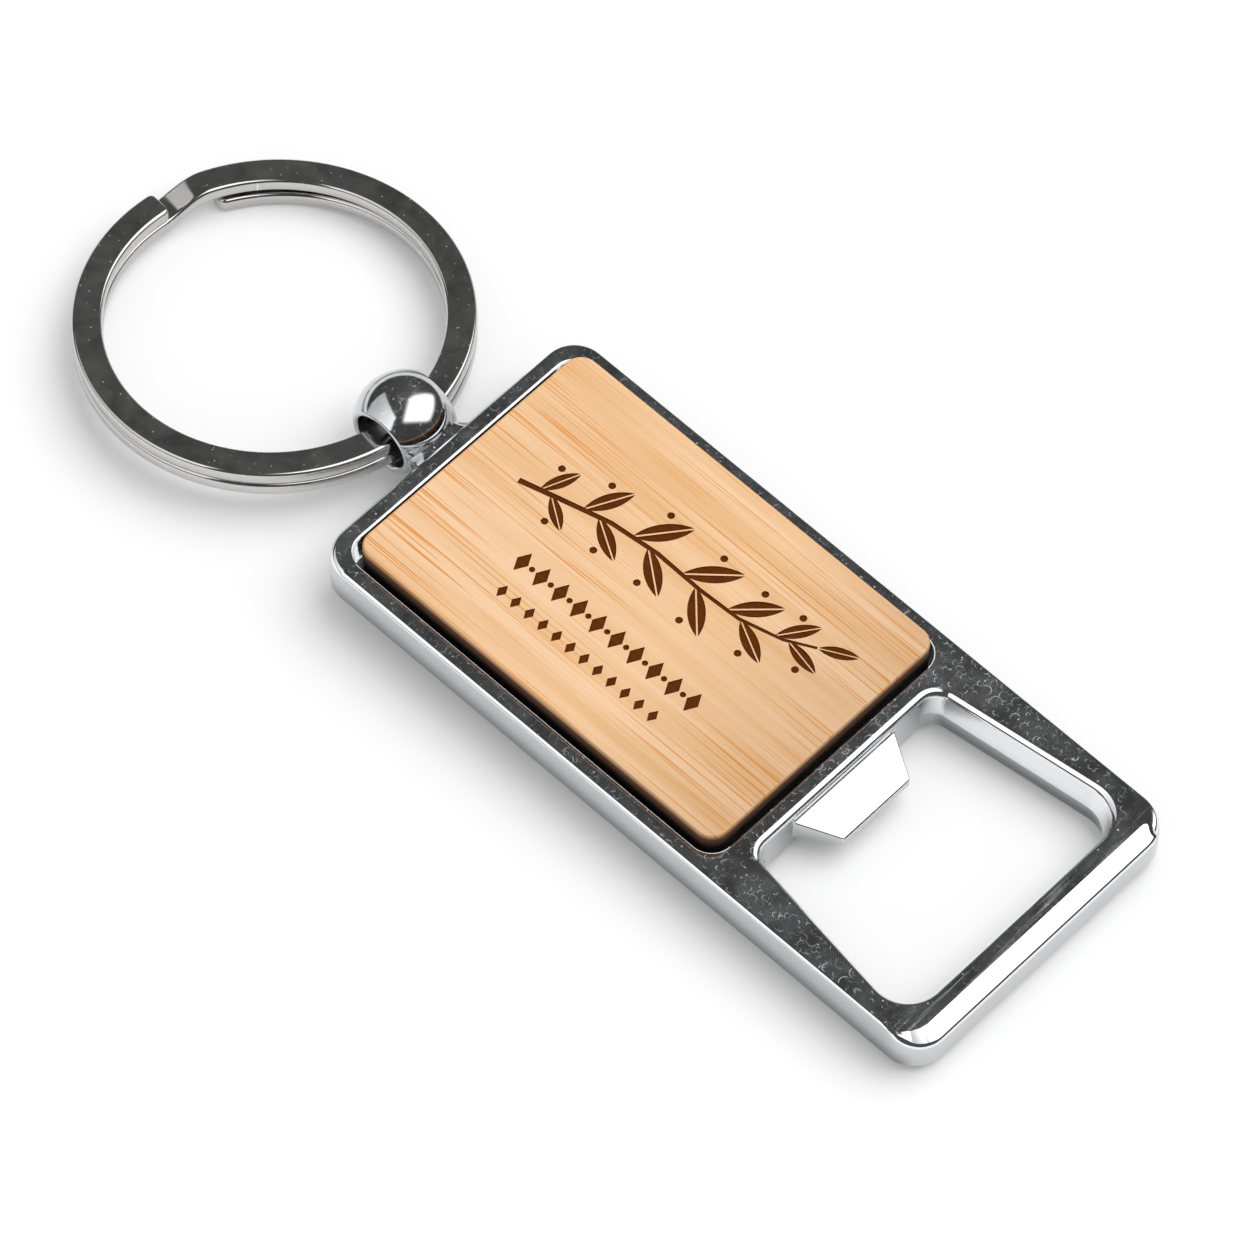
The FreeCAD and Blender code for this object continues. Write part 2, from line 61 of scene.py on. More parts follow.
# how near is the same point, touching and close, and how far a cutter reaches past what it cuts
FINE, TOUCH, CLOSE, BEYOND = 1e-7, 0.01 * MM, 0.1 * MM, 1 * MM
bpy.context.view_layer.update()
PLATE_LOW, PLATE_HIGH = (Vector(corner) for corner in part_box("bamboo_plate"))


def colour(code):
    """Turns an sRGB hex code into the linear colour that a shader takes."""
    parts = [int(code[i : i + 2], 16) / 255 for i in (1, 3, 5)]
    return tuple(p / 12.92 if p <= 0.04045 else ((p + 0.055) / 1.055) ** 2.4 for p in parts) + (1.0,)


# ---------------------------------------------------------------- what a user would change


def length(label, about, size):
    return bpy.props.FloatProperty(
        name=label, description=about, default=size * MM, min=0.0, unit="LENGTH", precision=5
    )


def tint(label, about, code):
    return bpy.props.FloatVectorProperty(
        name=label, description=about, default=colour(code), size=4, min=0.0, max=1.0, subtype="COLOR"
    )


class CastingSizes(bpy.types.PropertyGroup):
    length: length("Length", "Casting from its ring end to its end bar, without the ball", 63.6)
    width: length("Width", "Casting across", 29.0)
    thickness: length("Thickness", "Casting from its back to its face", 4.4)
    corner: length("Corner radius", "Rounding of the four outer corners", 2.9)
    top_edge: length("Top edge", "Rounding of the face's outer edge", 0.5)
    back_edge: length("Back edge", "Rounding of the back's outer edge", 1.2)
    window_rim: length("Window rim", "Rounding of the window's upper edge", 0.6)
    ramp_run: length("Ramp run", "Width of the sloping band on the end bar", 1.5)
    ramp_drop: length("Ramp drop", "How far the band comes down", 0.95)
    pocket_depth: length("Pocket depth", "Depth of the plate's pocket", 1.5)
    ball: length("Ball", "Diameter of the ball", 8.2)
    bore: length("Bore", "Diameter of the ball's cross bore", 4.994)
    bore_lip: length("Bore lip", "Rounding of the bore's mouths", 0.3)


class RingSizes(bpy.types.PropertyGroup):
    diameter: length("Diameter", "Outside diameter of the split ring", 32.0)
    wire_width: length("Wire width", "Flat wire across", 2.45)
    wire_thickness: length("Wire thickness", "Flat wire from face to face", 1.3)
    wire_edge: length("Wire edge", "Rounding of the wire's edges", 0.36)
    turn_gap: length("Turn gap", "Slit between the two turns", 0.06)
    splay: length("Splay", "How far the loose end droops", 0.45)


class PlateSizes(bpy.types.PropertyGroup):
    corner: length("Corner radius", "Rounding of the plate's corners", 1.55)
    edge: length("Top edge", "Rounding of the plate's top edge", 0.25)
    engraving: length("Engraving", "Depth of the burnt ornament", 0.09)


class FinishColours(bpy.types.PropertyGroup):
    chrome: tint("Chrome", "Reflection of bright chrome plate", "#CBCCCE")
    # the pale tone of scratches from rubbing, and of the painted highlight on the rounded edges, the slopes
    # and the pocket's rim
    rubbed: tint("Rubbed chrome", "Scratches and the pocket's satin rim", "#F4F5F7")
    # painted shade: the darker chrome of the walls towards the back
    painted_wall_shade: tint("Painted_shade", "Chrome of the walls towards the back", "#77787B")
    nickel: tint("Nickel", "Reflection of bright nickel plate", "#C6C5C4")
    bamboo: tint("Bamboo", "Sanded bamboo between its fibres", "#EBC8A3")
    strip: tint("Strip", "Its warmer strips", "#DFB485")
    fibre: tint("Fibre", "Orange fibre bundles", "#D9924A")
    burnt: tint("Burnt", "What the laser leaves", "#401C03")
    tape: tint("Tape", "Double-sided foam tape", "#E4E3DE")
    floor: tint("Floor", "Paper that the opener lies on", "#F7F7F7")


# ---------------------------------------------------------------- working in edit mode


def activate(piece):
    bpy.ops.object.select_all(action="DESELECT")
    piece.select_set(True)
    bpy.context.view_layer.objects.active = piece


def open_mesh(piece):
    activate(piece)
    bpy.ops.object.mode_set(mode="EDIT")


def close_mesh():
    bpy.ops.object.mode_set(mode="OBJECT")


def choose(piece, kind, test):
    """Selects the vertices, edges or faces of an open mesh that pass a test of their place."""
    bpy.ops.mesh.select_mode(type={"verts": "VERT", "edges": "EDGE", "faces": "FACE"}[kind])
    bpy.ops.mesh.select_all(action="DESELECT")
    cage = bmesh.from_edit_mesh(piece.data)
    found = [item for item in getattr(cage, kind) if test(item)]
    if not found:
        raise RuntimeError(f"{piece.name}: no {kind} where they were looked for")
    for item in found:
        item.select_set(True)
    bmesh.update_edit_mesh(piece.data)


def ends(edge):
    return edge.verts[0].co, edge.verts[1].co


def upright(edge):
    a, b = ends(edge)
    return (a - b).xy.length < TOUCH


def at_height(edge, z):
    return all(abs(p.z - z) < TOUCH for p in ends(edge))


def add_block(name, low, high):
    """A cube primitive between two corners, its size in its mesh."""
    low, high = Vector(low), Vector(high)
    bpy.ops.mesh.primitive_cube_add(size=1, location=(low + high) / 2)
    block = newest(name)
    block.scale = high - low
    bpy.ops.object.transform_apply()
    return block


def newest(name):
    """The piece that was just added, under its name."""
    piece = bpy.context.object
    piece.name = name
    return piece


def cut_plane(point, normal, keep="inner", whole=True):
    """Cuts all of the open mesh, or only what is selected of it, with a plane."""
    if whole:
        bpy.ops.mesh.select_all(action="SELECT")
    bpy.ops.mesh.bisect(
        plane_co=point,
        plane_no=normal,
        use_fill=keep != "both",
        clear_outer=keep == "inner",
        clear_inner=keep == "outer",
        threshold=FINE,
    )


def round_off(piece, test, radius, segments, clamp=False):
    """Rounds the edges of an open mesh that pass a test."""
    choose(piece, "edges", test)
    bpy.ops.mesh.bevel(offset=radius, segments=segments, affect="EDGES", clamp_overlap=clamp)


def combine(piece, other, how, crossing=False):
    """Joins or cuts with another closed mesh and applies the result."""
    cut = piece.modifiers.new("cut", "BOOLEAN")
    cut.operation = how
    cut.object = other
    cut.solver = "EXACT"
    cut.material_mode = "TRANSFER"
    cut.use_self = crossing
    activate(piece)
    bpy.ops.object.modifier_apply(modifier=cut.name)
    bpy.data.objects.remove(other)


def step_out(shift, stretch=(1, 1, 1), about=(0, 0, 0)):
    """Draws the selected face out by one section, moved and then scaled about a point."""
    bpy.ops.mesh.extrude_region_move(TRANSFORM_OT_translate={"value": shift})
    bpy.ops.transform.resize(value=stretch, center_override=about)


def smooth(piece, angle=32):
    """Smooth shading up to an angle, with the flat faces kept flat beside their rounded edges."""
    activate(piece)
    bpy.ops.object.shade_smooth_by_angle(angle=math.radians(angle))
    keep_flat = piece.modifiers.new("keep_flat", "WEIGHTED_NORMAL")
    keep_flat.keep_sharp = True
    keep_flat.weight = 100
    bpy.ops.object.modifier_apply(modifier=keep_flat.name)


def tidy_mesh(piece):
    open_mesh(piece)
    bpy.ops.mesh.select_all(action="SELECT")
    bpy.ops.mesh.remove_doubles(threshold=FINE)
    bpy.ops.mesh.normals_make_consistent(inside=False)
    close_mesh()


def dress(piece, *finishes):
    piece.data.materials.clear()
    for finish in finishes:
        piece.data.materials.append(finish)


# ---------------------------------------------------------------- finishes


def add_node(tree, kind, inputs=(), **settings):
    """Adds one shader node, sets it, and fills or links its inputs, given by name or in their order.
    Where an input is given a node, it is linked to that node's first output."""
    node = tree.nodes.new("ShaderNode" + kind)
    for name, value in settings.items():
        setattr(node, name, value)
    for name, value in inputs.items() if isinstance(inputs, dict) else enumerate(inputs):
        if isinstance(value, bpy.types.Node):
            value = value.outputs[0]
        if isinstance(value, bpy.types.NodeSocket):
            tree.links.new(value, node.inputs[name])
        else:
            node.inputs[name].default_value = value
    return node


def node_adder(tree):
    """Empties a node tree and gives what adds nodes to it."""
    tree.nodes.clear()
    return partial(add_node, tree)


def new_finish(name):
    finish = bpy.data.materials.new(name)
    finish.use_nodes = True
    return finish, node_adder(finish.node_tree)


def in_mm(node):
    """The piece's own coordinates in millimetres."""
    place = node("TexCoord").outputs["Object"]
    return node("VectorMath", {0: place, "Scale": 1 / MM}, operation="SCALE")


def curls(node, place, per_mm, radius, thick):
    """Curved handling marks: one broken arc round the middle of each cell of a flat cell pattern."""
    cells = node("TexVoronoi", {"Vector": place, "Scale": per_mm}, voronoi_dimensions="2D")
    away = node("VectorMath", (place, cells.outputs["Position"]), operation="SUBTRACT")
    chance = node("SeparateColor", (cells.outputs["Color"],)).outputs
    size = node("MapRange", (chance[0], 0, 1, radius * 0.5, radius))
    across, up, _ = node("SeparateXYZ", (away,)).outputs
    flat = node("CombineXYZ", (across, up))
    reach = node("VectorMath", (flat,), operation="LENGTH").outputs["Value"]
    miss = node("Math", (reach, size), operation="SUBTRACT")
    miss = node("Math", (miss,), operation="ABSOLUTE")
    line = node("MapRange", (miss, thick, thick * 0.3))
    turn = node("Math", (up, across), operation="ARCTAN2")
    start = node("Math", (chance[1], math.tau, turn), operation="MULTIPLY_ADD")
    facing = node("Math", (start,), operation="COSINE")
    open_part = node("MapRange", (facing, -0.3, 0.5))
    # most are faint and a few are bright
    depth = node("Math", (chance[2], 1.6), operation="POWER")
    for share in (open_part, depth):
        line = node("Math", (line, share), operation="MULTIPLY")
    return line


def hatching(node, place):
    """Fine hatching 0.17 mm apart in patches, turned another way in each."""
    cells = node("TexVoronoi", {"Vector": place, "Scale": 0.55}, voronoi_dimensions="2D")
    chance = node("SeparateColor", (cells.outputs["Color"],))
    angle = node("Math", (chance, math.tau), operation="MULTIPLY")
    turned = node("VectorRotate", {"Vector": place, "Angle": angle}, rotation_type="Z_AXIS")
    lines = {"Vector": turned, "Scale": 1.85, "Distortion": 2.2, "Detail": 1.0, "Detail Scale": 0.5}
    lines = node("MapRange", (node("TexWave", lines).outputs["Fac"], 0.55, 1.0))
    patch = node("TexNoise", {"Vector": place, "Scale": 0.5, "Detail": 2.0})
    patch = node("MapRange", (patch, 0.45, 0.6))
    return node("Math", (lines, patch), operation="MULTIPLY")


def specks(node, place, per_mm, size):
    """Bright pits, each a fraction of a millimetre across, some stronger than others."""
    dots = node("TexVoronoi", {"Vector": place, "Scale": per_mm}, voronoi_dimensions="2D")
    chance = node("SeparateColor", (dots.outputs["Color"],))
    depth = node("Math", (chance, 2.0), operation="POWER")
    dots = node("MapRange", (dots, size * per_mm, size * per_mm * 0.4))
    return node("Math", (dots, depth), operation="MULTIPLY")


def handling_marks(node, place, x):
    """What a polishing wheel and handling leave on chrome: curls, hatching, streaks and specks."""
    large = curls(node, place, per_mm=0.85, radius=0.5, thick=0.07)
    shifted = node("VectorMath", (place, (13.7, 5.3, 0)), operation="ADD")
    small = curls(node, shifted, per_mm=1.9, radius=0.24, thick=0.055)
    marks = node("Math", (large, small), operation="MAXIMUM")
    marks = node("Math", (hatching(node, place), 0.3, marks), operation="MULTIPLY_ADD")
    # the wheel ran straight along the end bar
    along = node("VectorMath", (place, (1.0, 0.05, 1.0)), operation="MULTIPLY")
    streaks = node("TexNoise", {"Vector": along, "Scale": 2.6, "Detail": 2.0})
    streaks = node("MapRange", (streaks, 0.52, 0.72))
    on_bar = node("MapRange", (x, 28.2, 28.9))
    streaks = node("Math", (streaks, on_bar), operation="MULTIPLY")
    off_bar = node("MapRange", (on_bar, 0, 1, 1.0, 0.35))
    marks = node("Math", (marks, off_bar), operation="MULTIPLY")
    marks = node("Math", (streaks, 0.8, marks), operation="MULTIPLY_ADD")
    # and it reached that end most
    worn = node("MapRange", (x, -8.0, 9.0, 0.75, 1.0))
    marks = node("Math", (marks, worn), operation="MULTIPLY")
    dots = specks(node, place, per_mm=0.75, size=0.11)
    dots = node("Math", (dots, 1.5), operation="MULTIPLY")
    return node("Math", (marks, dots), operation="MAXIMUM")


def polished_chrome(colours):
    """Chrome plate on a polished zinc die casting: a cool mirror, its flat face dulled by a polishing wheel
    and by handling, with pale curls, fine hatching, specks and grey clouds over the dark reflection."""
    finish, node = new_finish("chrome_plate_polished")
    place = in_mm(node)
    x, _, z = node("SeparateXYZ", (place,)).outputs
    normal = node("TexCoord").outputs["Normal"]
    _, sideways, upwards = node("SeparateXYZ", (normal,)).outputs
    flat = node("MapRange", (upwards, 0.93, 0.99, 0.08, 1.0))
    # the ball is scratched all round
    on_ball = node("MapRange", (x, -31.7, -32.3))
    off_ball = node("Math", (1.0, on_ball), operation="SUBTRACT")
    handled = node("Math", (on_ball, 0.5, flat), operation="MULTIPLY_ADD")
    marks = node("Math", (handling_marks(node, place, x), handled), operation="MULTIPLY")
    clouds = node("TexNoise", {"Vector": place, "Scale": 0.35, "Detail": 3.0})
    haze = node("MapRange", (clouds, 0.4, 0.75, 0.0, 0.07))
    haze = node("Math", (haze, flat), operation="MULTIPLY")
    dulled = node("Math", (marks, 0.29, haze), operation="MULTIPLY_ADD")
    bare = node("Math", (1.0, dulled), operation="SUBTRACT", use_clamp=True)
    rough = node("MapRange", (clouds, 0.3, 0.7, 0.03, 0.09))
    rough = node("Math", (on_ball, 0.05, rough), operation="MULTIPLY_ADD")
    rough = node("Math", (marks, 0.1, rough), operation="MULTIPLY_ADD")
    ripple = node("TexNoise", {"Vector": place, "Scale": 0.18, "Detail": 1.0})
    swell = node("Bump", {"Height": ripple, "Strength": 0.25, "Distance": 0.03 * MM})
    scored = {"Height": marks, "Strength": 0.12, "Distance": 0.01 * MM, "Normal": swell}
    # painted shade: the walls along it are darkened towards the back, where they mirror the floor's contact
    # shadow
    painted_low_shade = node("MapRange", (z, 2.7, 0.9, 0.0, 0.8))
    side = node("Math", (sideways,), operation="ABSOLUTE")
    side = node("MapRange", (side, 0.75, 0.95))
    # and its rounded edges and slopes are given a paler, brighter reflection than chrome has: painted
    # highlight
    edge = node("MapRange", (upwards, 0.15, 0.42))
    off_face = node("MapRange", (upwards, 0.97, 0.9))
    for share in (side, off_ball):
        painted_low_shade = node("Math", (painted_low_shade, share), operation="MULTIPLY")
    for share in (off_face, off_ball):
        edge = node("Math", (edge, share), operation="MULTIPLY")
    tone = colours.chrome
    for share, layer in ((marks, colours.rubbed), (painted_low_shade, colours.painted_wall_shade), (edge, colours.rubbed)):
        tone = node("Mix", {0: share, 6: tone, 7: layer}, data_type="RGBA").outputs[2]
    looks = {"Base Color": tone, "Metallic": bare, "Roughness": rough, "Normal": node("Bump", scored)}
    node("OutputMaterial", (node("BsdfPrincipled", looks),))
    return finish


def painted_rim_line(colours):
    """The pocket's sharp rim: a pale, satin line of painted highlight."""
    finish, node = new_finish("chrome_plate_rubbed")
    rubs = node("TexNoise", {"Vector": in_mm(node), "Scale": 1.6, "Detail": 3.0})
    rough = node("MapRange", (rubs, 0, 1, 0.35, 0.6))
    bare = node("MapRange", (rubs, 0.3, 0.7, 0.0, 0.15))
    looks = {"Base Color": colours.rubbed, "Metallic": bare, "Roughness": rough, "Specular IOR Level": 0.1}
    node("OutputMaterial", (node("BsdfPrincipled", looks),))
    return finish


def nickel_plate(colours):
    """Bright nickel on flattened spring steel: a darker, warmer mirror than chrome, clouded by the rolling
    of the wire, with small specks."""
    finish, node = new_finish("nickel_plated_spring_steel")
    place = in_mm(node)
    dots = specks(node, place, per_mm=1.1, size=0.08)
    clouds = node("TexNoise", {"Vector": place, "Scale": 0.55, "Detail": 4.0, "Distortion": 0.6})
    rough = node("MapRange", (clouds, 0.35, 0.65, 0.03, 0.11))
    rough = node("Math", (dots, 0.15, rough), operation="MULTIPLY_ADD")
    bare = node("MapRange", (clouds, 0.3, 0.7, 0.99, 0.93))
    bare = node("Math", (dots, -0.35, bare), operation="MULTIPLY_ADD")
    ripple = node("Bump", {"Height": clouds, "Strength": 0.2, "Distance": 0.02 * MM})
    tone = node("Mix", {0: dots, 6: colours.nickel, 7: colours.rubbed}, data_type="RGBA").outputs[2]
    looks = {"Base Color": tone, "Metallic": bare, "Roughness": rough, "Normal": ripple}
    node("OutputMaterial", (node("BsdfPrincipled", looks),))
    return finish


def stretched(node, place, share):
    """Coordinates along which a pattern runs out along the plate."""
    return node("VectorMath", (place, (share, 1.0, 1.0)), operation="MULTIPLY")


# heights in millimetres between which the plate's edge darkens: the laser's scorching, then painted shade to
# near black towards the foot
SCORCH_SHADE_TOP, SCORCH_SHADE_FOOT = 6.22, 4.7


def bamboo(colours, name, scorch_and_shade):
    """Sanded bamboo: pale tan and matt, with hairlines, paler and warmer strips and thin orange fibre
    bundles in clusters along it, scorched brown where the cutting laser went round it, and with painted
    shade that takes its sides to near black towards their foot."""
    finish, node = new_finish(name)
    place = in_mm(node)
    x, _, z = node("SeparateXYZ", (place,)).outputs
    # strips 2 mm across that differ a little in tone
    strips = {"Vector": stretched(node, place, 0.05), "Scale": 0.5, "Detail": 2.0}
    strips = node("MapRange", (node("TexNoise", strips), 0.35, 0.65))
    # hairlines 0.2 mm apart
    long_way = stretched(node, place, 0.1)
    hairs = {"Vector": long_way, "Scale": 1.5, "Distortion": 1.6, "Detail": 2.0, "Detail Scale": 1.2}
    hairs = node("TexWave", hairs, bands_direction="Y")
    hairs = node("MapRange", (hairs.outputs["Fac"], 0, 1, 0.0, 0.22))
    # fibre bundles 0.2 mm across and 10 to 20 mm long, where they cluster
    bundles = {"Vector": stretched(node, place, 0.009), "Scale": 6.2, "Detail": 1.5}
    bundles = node("MapRange", (node("TexNoise", bundles), 0.56, 0.63))
    clusters = {"Vector": stretched(node, place, 0.3), "Scale": 0.2, "Detail": 1.0}
    clusters = node("MapRange", (node("TexNoise", clusters), 0.42, 0.6, 0.2, 1.0))
    bundles = node("Math", (bundles, clusters), operation="MULTIPLY")
    # the end at the window is a little darker
    darker = node("MapRange", (x, -6.0, 9.0, 0.0, 0.2))
    layers = [(strips, colours.strip), (hairs, colours.fibre), (bundles, colours.fibre)]
    layers.append((darker, colours.burnt))
    if scorch_and_shade:
        depth = node("MapRange", (z, SCORCH_SHADE_TOP, SCORCH_SHADE_FOOT, 0.0, 1.0))
        browned = node("MapRange", (depth, 0.0, 0.4))
        # painted shade: the sides go near black towards their foot, over the brown scorching
        blackened_and_shaded = node("Math", (depth, 1.5), operation="POWER")
        layers += [(browned, colour("#6B3D1C")), (blackened_and_shaded, colour("#120905"))]
    tone = colours.bamboo
    for share, layer in layers:
        tone = node("Mix", {0: share, 6: tone, 7: layer}, data_type="RGBA").outputs[2]
    grain = node("Bump", {"Height": bundles, "Strength": 0.2, "Distance": -0.02 * MM})
    looks = {"Base Color": tone, "Roughness": 0.62, "Specular IOR Level": 0.2, "Normal": grain}
    node("OutputMaterial", (node("BsdfPrincipled", looks),))
    return finish


def burnt_bamboo(colours):
    """Bamboo burnt by an engraving laser: flat dark brown, matt, the fibres still just showing."""
    finish, node = new_finish("bamboo_laser_burnt")
    long_way = stretched(node, in_mm(node), 0.06)
    fibres = node("TexNoise", {"Vector": long_way, "Scale": 3.5, "Detail": 3.0})
    tones = {0: fibres, 6: colours.burnt, 7: colour("#6E3509")}
    tone = node("Mix", tones, data_type="RGBA").outputs[2]
    looks = {"Base Color": tone, "Roughness": 0.8, "Specular IOR Level": 0.05}
    node("OutputMaterial", (node("BsdfPrincipled", looks),))
    return finish


def foam_tape(colours):
    """White double-sided foam tape: soft, matt, with closed cells under half a millimetre across."""
    finish, node = new_finish("foam_tape_white")
    cells = node("TexVoronoi", {"Vector": in_mm(node), "Scale": 3.0})
    tones = {0: cells, 6: colours.tape, 7: colour("#CFCDC5")}
    tone = node("Mix", tones, data_type="RGBA").outputs[2]
    dents = node("Bump", {"Height": cells, "Strength": 0.3, "Distance": 0.05 * MM})
    looks = {"Base Color": tone, "Roughness": 0.75, "Normal": dents}
    node("OutputMaterial", (node("BsdfPrincipled", looks),))
    return finish


# ---------------------------------------------------------------- the casting

WINDOW_NEAR, WINDOW_FAR = 10.8 * MM, 28.8 * MM
NEAR_HALF, FAR_HALF = 10.05 * MM, 12.5 * MM
NEAR_RADIUS, FAR_RADIUS, BACK_RIM = 1.6 * MM, 3.0 * MM, 0.25 * MM
# what is left of the window's length and width at its waist, its mouth and its foot
WAIST_HEIGHT, WAIST_SHARE = 2.1 * MM, (0.987, 0.958, 1)
MOUTH_SHARE, FOOT_SHARE = (1.008, 1.042, 1), (1.012, 1.03, 1)
# the plate's pocket: its two ends, half its width and its corners
POCKET = (-30.05 * MM, 9.15 * MM, 12.95 * MM)
POCKET_CORNER, POCKET_RIM = 1.9 * MM, 0.13 * MM
LIP_RUN, LIP_DROP = 0.18 * MM, 0.112 * MM
# heights of the outer wall, and how far in it lies there
CROWN = ((3.1 * MM, 0.035 * MM), (4.4 * MM, 0.15 * MM))
# where the ramp stops before the +Y corner, and how its tip is slanted and rounded
RAMP_TIP, RAMP_TIP_SLANT, RAMP_TIP_RADIUS = 12.9 * MM, 0.35, 0.75 * MM
RAMP_OVERRUN, RAMP_FOOT_RADIUS = 1.5 * MM, 0.3 * MM
# how it turns round the -Y corner: turn in degrees and distance from the corner's centre in its radius
RAMP_ENDS = ((12, 0.49), (26, 0.52), (40, 0.59), (54, 0.70), (68, 0.85))
BALL_CENTRE = Vector((-36.1, 0, 2.2)) * MM
# neck stations: place along X, half width, half height
NECK = (
    (-34.9, 2.95, 2.3),
    (-34.0, 2.95, 2.05),
    (-33.6, 2.82, 1.86),
    (-33.2, 2.78, 1.72),
    (-32.8, 2.86, 1.64),
    (-32.45, 3.1, 1.6),
    (-32.15, 3.5, 1.6),
    (-31.9, 4.05, 1.6),
    (-31.75, 4.6, 1.6),
    (-31.5, 5.4, 1.6),
)
TONGUE_HALF, TONGUE_LOW, TONGUE_HIGH = 5.65 * MM, 1.0 * MM, 3.2 * MM
TONGUE_LENGTH, TONGUE_TIP_HALF = 3.5 * MM, 3.7 * MM
TONGUE_TIP_TOP, TONGUE_TIP_THICKNESS = 2.5 * MM, 0.9 * MM
TONGUE_CORNER, TONGUE_RIM = 0.4 * MM, 0.13 * MM
# where the long edges' faces are parted from those of the ramp
EDGE_PARTING = 27.5 * MM
# how far round the window and the pocket their rims are looked for
WINDOW_MARGIN, POCKET_MARGIN = 0.7 * MM, 0.4 * MM


def rounded_corner(radius, inside_angle):
    """How far back from a corner its rounding starts."""
    return radius / math.tan(inside_angle / 2)


def window_cutter(size):
    lean = math.atan2(FAR_HALF - NEAR_HALF, WINDOW_FAR - WINDOW_NEAR)
    top = size.thickness + BEYOND
    cutter = add_block("window_cutter", (WINDOW_NEAR, -NEAR_HALF, -BEYOND), (WINDOW_FAR, NEAR_HALF, top))
    open_mesh(cutter)
    choose(cutter, "verts", lambda v: v.co.x > WINDOW_FAR - CLOSE)
    bpy.ops.transform.resize(value=(1, FAR_HALF / NEAR_HALF, 1), center_override=(0, 0, 0))
    far_offset = rounded_corner(FAR_RADIUS, math.pi / 2 - lean)
    near_offset = rounded_corner(NEAR_RADIUS, math.pi / 2 + lean)
    round_off(cutter, lambda e: upright(e) and ends(e)[0].x > WINDOW_FAR - CLOSE, far_offset, 12)
    round_off(cutter, lambda e: upright(e) and ends(e)[0].x < WINDOW_NEAR + CLOSE, near_offset, 10)
    # the walls lean in to a waist, where the two halves of the casting's mould met
    cut_plane((0, 0, WAIST_HEIGHT), UP, keep="both")
    for test, shares, height in (
        (lambda v: v.co.z < WAIST_HEIGHT + TOUCH, WAIST_SHARE, WAIST_HEIGHT),
        (lambda v: v.co.z < 0, FOOT_SHARE, -BEYOND),
        (lambda v: v.co.z > size.thickness, MOUTH_SHARE, top),
    ):
        choose(cutter, "verts", test)
        bpy.ops.transform.resize(value=shares, center_override=(WINDOW_NEAR, 0, height))
    close_mesh()
    return cutter


def ramp_cutter(size):
    """What the end bar's ramp takes away: a wedge that ends in a rounded tip before the +Y corner."""
    face, top, end = size.thickness, size.length / 2 - size.ramp_run, size.length / 2 + RAMP_OVERRUN
    cutter = add_block("ramp_cutter", (top, -size.width, face), (end, RAMP_TIP, face + BEYOND))
    open_mesh(cutter)
    choose(cutter, "verts", lambda v: v.co.x > end - CLOSE and v.co.z < face + CLOSE)
    bpy.ops.transform.translate(value=(0, 0, -(end - top) * size.ramp_drop / size.ramp_run))
    choose(cutter, "verts", lambda v: v.co.x > end - CLOSE and v.co.y > 0)
    bpy.ops.transform.translate(value=(0, -RAMP_TIP_SLANT * (end - top), 0))

    def tip(e):
        x, y, _ = ends(e)[0]
        return upright(e) and x < top + CLOSE and y > 0

    round_off(cutter, tip, RAMP_TIP_RADIUS, 8)
    close_mesh()
    return cutter


def pocket_cutter(size):
    (near, far, half), face = POCKET, size.thickness
    cutter = add_block("pocket_cutter", (near, -half, face - size.pocket_depth), (far, half, face + BEYOND))
    open_mesh(cutter)
    round_off(cutter, upright, POCKET_CORNER, 10)
    # at the ring's end the rim slopes down to the plate, like the ramp
    cut_plane((0, 0, face - LIP_DROP), UP, keep="both")
    choose(cutter, "verts", lambda v: v.co.z > face and v.co.x < near + POCKET_CORNER + CLOSE)
    bpy.ops.transform.translate(value=(-(LIP_DROP + BEYOND) * LIP_RUN / LIP_DROP, 0, 0))
    close_mesh()
    return cutter


def bore_cutter(size):
    """The cross bore with its rounded mouths, drawn out of a short cylinder at both ends."""
    radius, lip, ball = size.bore / 2, size.bore_lip, size.ball / 2
    lip_radius = radius + lip
    lip_side = math.sqrt((ball - lip) ** 2 - lip_radius**2)
    bpy.ops.mesh.primitive_cylinder_add(
        vertices=96, radius=radius, depth=2 * lip_side, location=BALL_CENTRE, rotation=(math.pi / 2, 0, 0)
    )
    cutter = newest("bore_cutter")
    bpy.ops.object.transform_apply()
    stop = math.atan2(lip_side, lip_radius)
    steps = 8
    outline = []
    for i in range(1, steps + 1):
        angle = math.pi + (stop - math.pi) * i / steps
        outline.append((lip_radius + lip * math.cos(angle), lip_side + lip * math.sin(angle)))
    outline.append((outline[-1][0] * 1.35, outline[-1][1] * 1.35))
    outline.append((outline[-1][0], outline[-1][1] + BEYOND))
    open_mesh(cutter)
    for side in (1, -1):
        choose(cutter, "faces", lambda f: len(f.verts) > 4 and f.normal.y * side > 0.99)
        wide, out = radius, lip_side
        for new_wide, new_out in outline:
            about = BALL_CENTRE + Vector((0, side * new_out, 0))
            step_out((0, side * (new_out - out), 0), (new_wide / wide, 1, new_wide / wide), about)
            wide, out = new_wide, new_out
    close_mesh()
    tidy_mesh(cutter)
    return cutter


